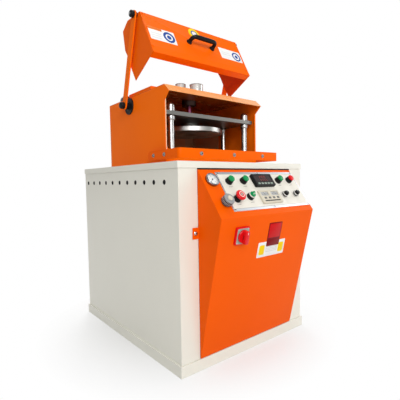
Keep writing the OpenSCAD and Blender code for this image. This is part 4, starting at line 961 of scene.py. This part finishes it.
def printed_disc(inner, outer, steps, bottom=0.5):
    """A thin round patch, or a ring where it has an inner radius."""
    profile = [(inner, bottom), (outer, bottom), (outer, bottom + 0.3), (inner, bottom + 0.3)]
    return lathe(profile + profile[:1] if inner else profile, steps)


left_plate = plate((-264, 72), (-133, 142), 0, 0.6, 3, 0.3)
add_to(left_plate, plate((-264, 128), (-196, 142), 0.5, 0.8, 3, 0.1), None, 1)
add_to(left_plate, printed_disc(18, 29, 40), at(-166, 106, 0), 2)
add_to(left_plate, printed_disc(0, 11, 32), at(-166, 106, 0), 2)
for i in range(3):
    add_to(left_plate, block((-256, 84 + 12 * i, 0.5), (-205, 86 + 12 * i, 0.7)), None, 3)
piece("hood_left_plate", left_plate, "hood", [enamel_white, enamel_orange, enamel_blue, pale_grey],
      HOOD_FRONT)
right_plate = plate((125, 75), (265, 141), 0, 0.6, 3, 0.3)
add_to(right_plate, printed_disc(19, 27, 40), at(232, 106, 0), 1)
add_to(right_plate, printed_disc(0, 10, 32), at(232, 106, 0), 1)
for i in range(2):
    add_to(right_plate, block((138, 102 + 12 * i, 0.5), (192, 104 + 12 * i, 0.7)), None, 2)
piece("hood_right_plate", right_plate, "hood", [enamel_white, enamel_blue, pale_grey],
      HOOD_FRONT)
spot_disc = lathe([(0, 0), (32, 0), (32, 0.4), (31.6, 0.6), (0, 0.6)], 48)
add_to(spot_disc, printed_disc(0, 19, 40), None, 2)
add_to(spot_disc, printed_disc(0, 14, 40, 0.7), None, 1)
piece("hood_yellow_disc", spot_disc, "hood", [enamel_yellow, enamel_white, enamel_blue],
      HOOD_FRONT @ at(-4, 180, 0))
print("plates made")

# %% [markdown]
# ## Hood handle
# A black bow handle. Where a path bends, rings are set along it and bridged: here along one half of
# the path, from the flared foot round the bend to the middle. The other half is its mirror image.
# The grip is a little thicker than the legs.

# %% Hood handle
def aim(way):
    """Turn Z to a direction."""
    return Vector(way).to_track_quat("Z", "Y").to_matrix().to_4x4()


def edges_of(verts):
    """The edges of some vertices, each once and in order."""
    return list(dict.fromkeys(edge for vert in verts for edge in vert.link_edges))


def tube(stations, steps=16):
    """Bridge rings along a path. A station is a place, a direction and a radius."""
    bm = bmesh.new()
    rings = []
    for spot, way, radius in stations:
        seat = at(*spot) @ aim(way)
        ring = bmesh.ops.create_circle(bm, segments=steps, radius=radius, matrix=seat)["verts"]
        rings.append(edges_of(ring))
    for first, second in zip(rings, rings[1:]):
        bmesh.ops.bridge_loops(bm, edges=first + second)
    for end in (rings[0], rings[-1]):
        bmesh.ops.contextual_create(bm, geom=end)
    return bm


def bow(width, out, bend, thick):
    """The stations of a bow that stands on z = 0, its feet a width apart."""
    half = width / 2
    legs = ((0, 1.02), (3, 1.0), (8, 0.74), (out - bend - 2, 0.66))
    path = [((half, 0, height), (0, 0, 1), thick * share) for height, share in legs]
    for i in range(7):
        angle = math.radians(15 * i)
        x, z = math.cos(angle), math.sin(angle)
        path.append(((half - bend + bend * x, 0, out - bend + bend * z), (-z, 0, x),
                     thick * (0.66 + 0.01 * i)))
    path.append(((half - bend - 16, 0, out), (-1, 0, 0), thick * 0.76))
    return path + [((-x, y, z), (way[0], 0, -way[2]), radius)
                   for (x, y, z), way, radius in reversed(path)]


HANDLE_WIDTH = 133

handle = tube(bow(HANDLE_WIDTH, 36, 18, 13.0), 20)
for x in (-HANDLE_WIDTH / 2, HANDLE_WIDTH / 2):
    add_to(handle, lathe([(0, 0), (13, 0), (13.4, 1), (13, 2.6), (10.5, 4.2), (0, 4.4)], 32),
           at(x, 0, 0))
    add_to(handle, lathe([(0, 4), (3.6, 4), (3.6, 4.6), (0, 4.7)], 16), at(x, -8.5, 0), 1)
piece("hood_bow", handle, "hood", [black_plastic, bright_steel],
      HOOD_FRONT @ at(10, 115, 0), stands_for=["hood_handle"])
print("hood handle made")

# %% [markdown]
# ## Pivots
# The arms turn on shoulder bolts. Outside each arm sits a black knob with a domed face and a steel
# socket screw, and behind the lower one a black friction disc lies on the chamber's side.

# %% Pivots
ARM_PIVOT = at(0, 64, 1026)


def facing(side):
    """Turn Z to the front, the rear, the left or the right of the machine."""
    return {"front": turn_x(90), "rear": turn_x(-90), "left": turn_y(-90),
            "right": turn_y(90)}[side]


def socket(radius, height, steps=24):
    """A steel cap screw with a hexagon socket, its head resting on z = 0."""
    bm = lathe([(0, 0), (radius, 0), (radius, height * 0.8), (radius * 0.86, height), (0, height)],
               steps)
    return add_to(bm, lathe([(0, height - 0.4), (radius * 0.5, height - 0.4),
                             (radius * 0.5, height + 0.03), (0, height + 0.03)], 6), None, 1)


knobs, discs = bmesh.new(), bmesh.new()
for side in ("left", "right"):
    seat = HOOD_PIVOT @ facing(side)
    add_to(knobs, lathe([(0, 265), (7.6, 265), (7.6, 277.2), (12, 277.3), (12, 283.9), (8, 283.9),
                         (8, 290), (13, 290), (14.6, 291.6), (14.6, 301), (14, 303.4), (12, 305.6),
                         (8, 306.8), (0, 306.9)], 40), seat)
    add_to(knobs, socket(5, 0.9), seat @ at(0, 0, 306.1), 1)
    seat = ARM_PIVOT @ facing(side)
    add_to(discs, lathe([(0, 262.5), (37.5, 262.5), (37.5, 266.5), (36.4, 268.2), (33, 268.5),
                         (30, 267.6), (19, 267.6), (17, 268.5), (15, 268.6), (15, 283.6),
                         (7.6, 283.7), (7.6, 290.2), (13.6, 290.3), (15, 291.6), (15, 305),
                         (14, 307.6), (11, 309.6), (6, 310.3), (0, 310.3)], 40), seat)
    add_to(discs, socket(4.4, 0.9), seat @ at(0, 0, 309.3), 1)
piece("upper_pivot_knobs", knobs, "hood_arms", [black_plastic, bright_steel],
      stands_for=["arm_knobs"])
piece("lower_pivot_discs", discs, "cabinet", [black_plastic, bright_steel],
      stands_for=["hood_pivots"])
print("pivots made")

# %% [markdown]
# ## Screws and bolts
# The sheets are held by socket screws. The ones on the instrument plate are bright, those on the
# apron are zinc grey, and those on the rear are blackened. A head is a turned dome with a dark
# hexagon let into it.

# %% Screws
bright = bmesh.new()
for x in (-183, 31, 245):
    for down in (22, 180):
        add_to(bright, socket(3.5, 2.8, 20), slope(x, down, 2))
LATCH = at(-274, -419, 500) @ facing("front")
add_to(bright, socket(5.5, 6), LATCH)
add_to(bright, lathe([(0, 0), (8, 0), (8, 0.9), (7.6, 1.2), (0, 1.2)], 24), LATCH)
piece("console_screw_heads", bright, "console", [bright_steel, black_plastic],
      stands_for=["console_screws"])

APRON_HEIGHT = 789
apron_seats = [at(x, -338, APRON_HEIGHT) @ facing("front") for x in (-175, 0, 175)]
for side, x in (("left", -280.5), ("right", 280.5)):
    apron_seats += [at(x, y, APRON_HEIGHT) @ facing(side) for y in (-161, -239)]
bolts = bmesh.new()
for seat in apron_seats:
    add_to(bolts, socket(5.5, 4.6), seat)
    add_to(bolts, lathe([(0, 0), (8, 0), (8, 0.8), (0, 1)], 24), seat)
PANEL_SCREWS = 417, 5, 3, (-232, 249), (57, 718)
FAN_SCREWS = 420, 4.2, 4, (-48.5, 56.5), (437.5, 542.5)
for y, radius, height, xs, zs in (PANEL_SCREWS, FAN_SCREWS):
    for x in xs:
        for z in zs:
            add_to(bolts, socket(radius, height), at(x, y, z) @ facing("rear"), 2)
piece("body_screw_heads", bolts, "cabinet", [zinc, black_plastic, blackened_steel],
      stands_for=["body_screws"])
print("screws made")

# %% [markdown]
# ## Columns, cups and turned steel
# Four ground columns stand on the bed and carry the yoke plate. Each is one profile spun round its
# axis: a foot collar, the shaft, a collar under the yoke, a nut above it and a domed cap. The edges
# are drawn as short slopes in the profile itself, which is how a turner breaks a corner, and each
# slope catches a thin line of light.

# %% Columns
columns = bmesh.new()
for x, y in ((-213, -190), (213, -190), (-219, -35), (219, -35)):
    add_to(columns, lathe([(0, 732), (13, 732), (13, 753.9), (19.2, 754), (20, 754.8), (20, 764.4),
                           (18.4, 766), (13.3, 766), (13, 766.4), (13, 931.8), (14.6, 932),
                           (16.4, 934), (17, 937), (17, 947), (16.4, 950), (14.8, 952), (13, 952),
                           (13, 968), (15.8, 968), (17, 969.2), (17, 986), (16.4, 986.6),
                           (16.4, 987.6), (16.5, 990), (16.1, 993.6), (14.9, 997), (13, 1000.2),
                           (10.4, 1002.8), (7.2, 1004.8), (3.7, 1006.1), (0, 1006.5)], 48),
           at(x, y, 0))
piece("turned_columns", columns, "cabinet", [ground_steel], smooth=40,
      stands_for=["columns"])
print("columns made")

# %% [markdown]
# The clamp disc, the pour tube and the two cups share one axis or stand beside it, so they are
# turned as well. The disc's rim is bright from the lathe. Its underside is painted a darker brown
# as shade, with shallow rings in it. The pour tube's purple is a painted reflection of the orange
# chamber, and its socket is black with scale. The cups have rolled rims.

# %% Turned steel
AXIS = at(0, SPINDLE_Y, 0)
disc = lathe([(34, 904.6), (40, 904), (58, 904), (59, 905.2), (97, 905.2), (98, 904), (140, 904),
              (141, 904.8), (146, 904.8), (147, 904), (153.6, 904), (155, 905.4), (155, 923.6),
              (153.6, 925), (62, 925), (61, 926.5), (31.5, 926.5), (30, 928), (30, 968.3),
              (38.8, 968.3), (40, 969.2), (40, 979.4), (39, 980.3), (15, 980.3), (14, 979.4),
              (14, 916), (34, 904.6)], 96)
# Painted shade: the disc's underside is a darker brown.
finish_where(disc, 1, lambda spot: spot.z < 917 and spot.xy.length < 153.4)
piece("turned_clamp_disc", disc, "clamp_disc", [turned_steel, shaded_brown_steel], AXIS,
      40, ["clamp_disc"])

pour = lathe([(8, 986), (11.4, 986), (12, 986.8), (12, 1038), (31.4, 1038), (33, 1039.6),
              (33, 1060.6), (31.6, 1062), (18, 1062), (18, 1077), (23.4, 1077), (24, 1077.7),
              (24, 1079.3), (23.2, 1080), (17, 1080), (8, 1072), (8, 986)], 48)
finish_where(pour, 1, lambda spot: spot.z > 1037.9)
# The tube's purple is a painted reflection of the orange chamber.
piece("turned_pour_tube", pour, "cabinet", [painted_reflection_steel, scaled_steel], AXIS, 40,
      ["pour_tube"])

cups = bmesh.new()
for x, y, r in ((0, -92, 32), (-64, -57, 25)):
    add_to(cups, lathe([(0, 1077), (r - 2, 1077), (r - 0.4, 1078.2), (r - 0.4, 1124), (r, 1124.8),
                        (r, 1126.2), (r - 0.7, 1127), (r - 1.8, 1127), (r - 2.4, 1126.2),
                        (r - 2.4, 1083), (r - 4, 1081), (0, 1081)], 56), at(x, y, 0))
finish_where(cups, 1, lambda spot: spot.z > 1123.4)
piece("turned_cups", cups, "cabinet", [stainless, dark_rim], smooth=40,
      stands_for=["roof_cups"])

table = lathe([(0, 804), (13.8, 804), (15, 803), (15, 800), (70, 800), (71, 799.2), (74, 799.2),
               (75, 800), (148.5, 800), (150, 798.5), (150, 779.5), (148.5, 778), (37, 778),
               (37, 760), (20, 760), (20, 430.6), (19.4, 430), (0, 430)], 96)
piece("turned_table", table, "table", [turned_steel], AXIS, 40, ["mould_table"])
print("disc, tube, cups and table made")

# %% [markdown]
# ## Vent screens
# A row of round vents runs along the top of each side panel. Every hole has a black rubber grommet
# with a dished black screen, which is painted shade: it stands for the dark inside of the cabinet,
# so that the holes read as black from all sides. A grommet is one turned profile.

# %% Vent screens
VENTS, VENT_PITCH, VENT_HEIGHT = 11, 70.5, 682

shade_screens = bmesh.new()
for side, x, shift in (("left", -340, 22), ("right", 340, 0)):
    for i in range(VENTS):
        add_to(shade_screens, lathe([(0, 1.4), (4.5, 1.2), (6, 0.8), (6.2, 3.0), (6.8, 3.7), (8.6, 3.7),
                               (9.3, 3.0), (7.3, 3.0), (7.3, 0.1), (0, 0.1)], 24),
               at(x, shift + (i - VENTS // 2) * VENT_PITCH, VENT_HEIGHT) @ facing(side))
piece("vent_shade_screens", shade_screens, "cabinet", [vent_shade_black])
print("vent screens made")

# %% [markdown]
# ## The mains cord
# A three-core lead of ten millimetres leaves the gland, hangs to the floor, lies in three and a
# half loops along the plinth and climbs to the plug, which hangs on the cabinet. It is one length
# of one curve, which follows the same route as in the CAD source.

# %% The cord's route
GLAND = Vector((300, 415, 228))
ELBOW = GLAND + Vector((0, 27, 0))
NOSE_WAY = Vector((-0.902, 0.242, -0.358))
gland_exit = ELBOW + 26 * NOSE_WAY
DOWN_TO_FLOOR = (
    (248, 453, 205), (228, 457, 190), (209, 457, 171), (195, 454, 147), (187, 450, 120),
    (184, 447, 90), (184, 446, 62), (185, 449, 37), (186, 458, 18), (187, 473, 8),
    (187, 493, 5.5), (179, 523, 5.5), (157, 545, 5.5), (127, 553, 5.5), (104, 553, 5.5),
    (89, 553, 5.5), (75, 553, 5.5))
UP_TO_PLUG = (
    (75, 429, 16.1), (86, 429, 16.1), (102, 429, 15.6), (122, 429, 13.4), (146, 429, 9),
    (172, 430, 6), (200, 431, 5.5), (238, 432, 5.5), (261, 432, 12), (278, 432, 29),
    (284, 432, 52), (284, 432, 58), (284, 432, 68))
TURNS, LOOP_RADIUS, LOOP_RUN, LOOP_STEP, TURN_POINTS = 3.5, 62, 45, 11, 24
LOOPS_X, LOOPS_Y, ON_FLOOR, CLIMB = 65, 491, 5.5, 10.6
CORD_RADIUS = 0.0049


def loop_point(turn):
    """A place on the loops, which narrow to the middle turn and climb over the first ones there."""
    angle = math.radians(90 + 360 * turn)
    radius = LOOP_RADIUS - LOOP_STEP * min(turn, TURNS - turn)
    shift = LOOP_RUN / 2 * max(-1, min(1, 3 * math.cos(angle)))
    climb = max(0, min(1, (turn - TURNS / 2 + 0.25) * 2))
    return (LOOPS_X + shift + radius * math.cos(angle), LOOPS_Y + radius * math.sin(angle),
            ON_FLOOR + CLIMB * climb)


loops = [loop_point(i / TURN_POINTS) for i in range(int(TURNS * TURN_POINTS) + 1)]
cord_route = [Vector(place) * MM for place in (
    gland_exit, gland_exit + 10 * NOSE_WAY, *DOWN_TO_FLOOR, *loops, *UP_TO_PLUG)]


def rounded(points, steps=3):
    """Points along smooth arcs through the given ones."""
    line = []
    for i in range(len(points) - 1):
        a, b = points[max(i - 1, 0)], points[i]
        c, d = points[i + 1], points[min(i + 2, len(points) - 1)]
        for k in range(steps):
            t = k / steps
            line.append(0.5 * (2 * b + (c - a) * t + (2 * a - 5 * b + 4 * c - d) * t ** 2
                               + (3 * b - 3 * c + d - a) * t ** 3))
    return line + [points[-1]]


cord_line = rounded(cord_route)
cord_length = sum((b - a).length for a, b in zip(cord_line, cord_line[1:]))
cord_curve = bpy.data.curves.new("mains_lead", "CURVE")
cord_curve.dimensions, cord_curve.bevel_depth, cord_curve.bevel_resolution = "3D", CORD_RADIUS, 4
cord_curve.use_fill_caps = True
spline = cord_curve.splines.new("POLY")
spline.points.add(len(cord_line) - 1)
for point, place in zip(spline.points, cord_line):
    point.co = (*place, 1)
spline.use_smooth = True
mains_lead = bpy.data.objects.new("mains_lead", cord_curve)
bpy.context.collection.objects.link(mains_lead)
cord_curve.materials.append(cord_rubber.material)
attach(mains_lead, "cabinet")
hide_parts("mains_cord", "mains_cord_coil", "plug_cord")
print("cord length", round(cord_length, 3))

# %% [markdown]
# ## Fan guard and hub
# A guard of bent wire covers the fan: dark rings, with two bright cross wires that end in eyelets
# under the screws. A ring is a small circle spun round the fan's axis. The rotor keeps its blades
# and gets a plain disc on its hub.

# %% Fan guard
FAN = at(4, 0, 490)
SCREW_REACH = 52.5 * math.sqrt(2)


def ring(radius, wire, height=0.0, steps=40, sides=8):
    """A ring of wire round Z."""
    bm = bmesh.new()
    seat = at(radius, 0, height) @ turn_x(90)
    circle = bmesh.ops.create_circle(bm, segments=sides, radius=wire, matrix=seat)["verts"]
    bmesh.ops.spin(bm, geom=circle + edges_of(circle), axis=(0, 0, 1), cent=(0, 0, 0),
                   angle=math.tau, steps=steps, use_merge=True)
    bmesh.ops.remove_doubles(bm, verts=bm.verts, dist=0.001)
    return bm


guard = bmesh.new()
guard_seat = FAN @ at(0, 417, 0) @ facing("rear")
for radius in (12, 22, 32, 42, 52):
    add_to(guard, ring(radius, 1.3, 2.0), guard_seat, 1)
for i in range(4):
    turn = turn_z(45 + 90 * i)
    add_to(guard, tube([((11, 0, 3.4), (1, 0, 0), 1.25), ((46, 0, 3.4), (1, 0, 0), 1.25),
                        ((56, 0, 2.9), (1, 0, -0.1), 1.25), ((62, 0, 1.6), (1, 0, -0.1), 1.25),
                        ((SCREW_REACH - 5, 0, 1.4), (1, 0, 0), 1.25)], 8), guard_seat @ turn)
    add_to(guard, ring(5, 1.35, 1.4, 24), guard_seat @ turn @ at(SCREW_REACH, 0, 0))
piece("fan_guard_wires", guard, "cabinet", [bright_steel, blackened_steel],
      stands_for=["fan_guard"])
hub = lathe([(4, 0), (19.4, 0), (20, 0.5), (19.4, 0.9), (4, 0.9), (4, 0)], 40)
for radius in (9, 14):
    add_to(hub, ring(radius, 0.35, 0.9, 32, 6), None, 1)
piece("fan_hub_disc", hub, "fan_rotor", [hub_red, pale_grey],
      FAN @ at(0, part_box("fan_rotor")[1][1] / MM, 0) @ facing("rear"))
print("fan guard made")

# %% [markdown]
# ## Cable gland and plug
# The lead comes out through an elbow gland. A ribbed rubber sleeve, tapered over 42 mm, keeps it
# from kinking there.

# %% Gland and sleeve
gland = lathe([(0, 0), (14, 0), (14, 24), (13, 26.6), (0, 27)], 32)
add_to(gland, plate((-17, -17), (17, 17), 0, 6, 5, 1.2))
elbow = bmesh.new()
bmesh.ops.create_uvsphere(elbow, u_segments=28, v_segments=18, radius=14)
add_to(gland, elbow, at(0, 0, 27))
gland.transform(at(*GLAND) @ facing("rear"))
add_to(gland, lathe([(0, 0), (12, 0), (12, 7), (14.6, 7.6), (14.9, 8.6), (14.9, 18.6), (14.2, 20),
                     (12, 20.4), (11.4, 25), (10.4, 26), (0, 26)], 32), at(*ELBOW) @ aim(NOSE_WAY))
piece("elbow_gland", gland, "cabinet", [black_plastic], stands_for=["cable_gland"])


def along(line, radii):
    """A round sleeve along the start of a line, given as pairs of a distance and a radius."""
    stations, walked, i = [], 0.0, 0
    for distance, radius in radii:
        while i < len(line) - 2 and walked + (line[i + 1] - line[i]).length < distance:
            walked += (line[i + 1] - line[i]).length
            i += 1
        way = (line[i + 1] - line[i]).normalized()
        stations.append((line[i] + way * (distance - walked), way, radius))
    return tube(stations, 20)


sleeve_radii = [(0, 8.6)]
for i in range(8):
    start, wide = 1 + i * 5, 8.4 - i * 0.36
    sleeve_radii += [(start, wide), (start + 3.2, wide - 0.2), (start + 3.5, wide - 1.2),
                     (start + 4.7, wide - 1.25)]
sleeve_radii += [(41, 5.6), (42, 5.1)]
cord_mm = [point / MM for point in cord_line]
piece("gland_sleeve", along(cord_mm, sleeve_radii), "cabinet", [cord_rubber])
print("gland and sleeve made")

# %% [markdown]
# The plug is white, with two round pins that point to the machine's middle and a black ribbed boot
# below. Its body is a block with wide bevels, narrowed towards the boot, and the pins are turned.

# %% Plug
PLUG_X, PLUG_Y = 284, 432


def boot_ring(height, radius):
    """A station of the boot, which hangs straight down from the plug."""
    return (PLUG_X, PLUG_Y, height), (0, 0, 1), radius


plug = block((264, 415.5, 128), (304, 447.8, 190), 7, 4)
for vert in plug.verts:
    low = max(0, (150 - vert.co.z) / 22)
    vert.co.x += (PLUG_X - vert.co.x) * 0.28 * low
    vert.co.y += (PLUG_Y - vert.co.y) * 0.22 * low
add_to(plug, block((261, 419, 134), (266, 445, 172), 3, 3))
add_to(plug, lathe([(0, 0), (4.2, 0), (4.2, 1), (3.4, 1.4), (0, 1.4)], 16),
       at(PLUG_X, 447.4, 160) @ facing("rear"), 2)
for y in (422.5, 441.5):
    add_to(plug, lathe([(0, 0), (2.5, 0), (2.5, 10), (2.4, 10.2), (2.4, 17.4), (1.6, 19),
                        (0, 19.4)], 20), at(264, y, 144) @ facing("left"), 1)
sections = [boot_ring(68, 6.4), boot_ring(69, 7.2)]
for i in range(7):
    low, wide = 70 + i * 7.6, 7.4 + i * 0.62
    sections += [boot_ring(low, wide), boot_ring(low + 5, wide + 0.4),
                 boot_ring(low + 5.3, wide - 1.2), boot_ring(low + 7.3, wide - 1.1)]
sections += [boot_ring(124, 11.4), boot_ring(129, 12)]
add_to(plug, tube(sections, 24), None, 3)
plug_body = piece("mains_plug_body", plug, "cabinet", [plug_white, chrome, pale_grey, cord_rubber],
                  stands_for=["mains_plug"])
print("plug made")

# %% [markdown]
# ## Seals and trims
# A black seal strip lies in the two-millimetre gap behind the console, and it is also painted
# shade: the gap reads as a dark line round the console. A rolled trim along the left edge of the
# chamber's mouth is painted pale, as a painted highlight of that edge.

# %% Seals and trims
seal_and_gap_shade = bmesh.new()
STRIPS = (
    (-260.4, 45, -251, 726), (246, 45, 255.4, 726), (-251, 717, 246, 726), (-251, 45, 246, 54))
for left, low, right_end, high in STRIPS:
    add_to(seal_and_gap_shade, block((left, -416.9, low), (right_end, -415.2, high), 0.4))
add_to(seal_and_gap_shade, block((-260.8, -3.2, -0.4), (255.8, 1.2, 1.3), 0.5), SLOPE)
# Partly painted shade: the black strips also stand for the shade in the gap.
piece("console_seal_and_gap_shade", seal_and_gap_shade, "console", [cord_rubber])
# Painted highlight: the pale bead stands for the light on the mouth's rounded edge.
edge_highlight_bead = tube([((-258.6, -223.4, height), (0, 0, -1), 1.9) for height in (1030, 1000, 900, 812)], 10)
piece("mouth_edge_highlight", edge_highlight_bead, "cabinet", [pale_edge_highlight])
print("seals and trims made")

# %% [markdown]
# ## Studio
# The picture is a cut-out on white. A pale floor keeps the machine's soft shadow near it and fades
# to white further out. Camera and mirror rays see a white backdrop, while the light on the object
# stays at a plain level. What metal mirrors is brightest along one level direction and darker
# across it, as a room with two softboxes is.

# %% Floor and world
SHADOW_REACH = 0.2

floor_finish = Finish("studio_floor", Roughness=0.6)
floor_finish.set("Base Color", (0.80, 0.80, 0.80))
x, y, z = floor_finish.parts(floor_finish.place)
rays = floor_finish.add("LightPath")
seen_or_mirrored = rays.out("Is Camera Ray").at_least(rays.out("Is Glossy Ray"))
share = ((reach(x, y) - SHADOW_REACH) * 2.0).at_least(0.0).at_most(1.0) * seen_or_mirrored
glow = floor_finish.add("Emission", {}, {"Color": (1, 1, 1), "Strength": 1.0})
lit = Value(floor_finish, floor_finish.shader)
mixed = floor_finish.add("MixShader", {}, {0: share, 1: lit, 2: glow})
floor_finish.join(floor_finish.tree.nodes["Material Output"].inputs["Surface"], mixed)

bm = bmesh.new()
bmesh.ops.create_grid(bm, x_segments=1, y_segments=1, size=14)
floor_mesh = bpy.data.meshes.new("studio_floor")
bm.to_mesh(floor_mesh)
bm.free()
floor = bpy.data.objects.new("studio_floor", floor_mesh)
floor_mesh.materials.append(floor_finish.material)
bpy.context.collection.objects.link(floor)

world = bpy.data.worlds.new("studio")
bpy.context.scene.world = world
world.use_nodes = True
sky = Graph(world.node_tree)
rays = sky.add("LightPath")
x, y, z = sky.parts(sky.add("TexCoord").out("Generated"))
lengthwise = x * 0.60 + y * 0.80
softbox = (lengthwise * lengthwise * 1.3 + 0.22).at_most(1.0)
camera_ray = rays.out("Is Camera Ray")
mirrored = rays.out("Is Glossy Ray").at_least(rays.out("Is Transmission Ray"))
white = sky.add("Background", {}, {"Color": (1, 1, 1), "Strength": camera_ray.at_least(softbox)})
plain = sky.tree.nodes["Background"]
sky.join(plain.inputs["Color"], (1.0, 0.985, 0.96))
sky.join(plain.inputs["Strength"], 0.42)
pick = sky.add("MixShader", {}, {0: camera_ray.at_least(mirrored), 1: Value(sky, plain), 2: white})
sky.join(sky.tree.nodes["World Output"].inputs["Surface"], pick)
print("floor and world made")

# %% [markdown]
# Four large soft lamps light it from the front, the right, above and the rear. A rectangular area
# lamp that is about as large as the machine gives the soft edges of the shadows.

# %% Lamps
def lamp(name, place, target, size, power):
    """A rectangular lamp at a place, aimed at a target, in metres and watts."""
    light = bpy.data.lights.new(name, "AREA")
    light.shape, light.size, light.size_y, light.energy = "RECTANGLE", *size, power
    holder = bpy.data.objects.new(name, light)
    bpy.context.collection.objects.link(holder)
    turned_to = (Vector(target) - Vector(place)).to_track_quat("-Z", "Y")
    holder.matrix_world = Matrix.Translation(place) @ turned_to.to_matrix().to_4x4()


lamp("key_light", (-1.3, -3.3, 2.3), (0, -0.2, 0.8), (1.8, 1.8), 78)
lamp("side_light", (3.0, -1.6, 1.8), (0, 0, 0.7), (1.6, 2.0), 26)
lamp("top_light", (0.0, 0.2, 3.6), (0, 0, 0.8), (2.2, 2.2), 34)
lamp("rear_light", (1.9, 3.2, 2.2), (0, 0.2, 0.7), (1.8, 1.8), 74)
bpy.context.scene.view_settings.view_transform = "Standard"
print("studio lit")
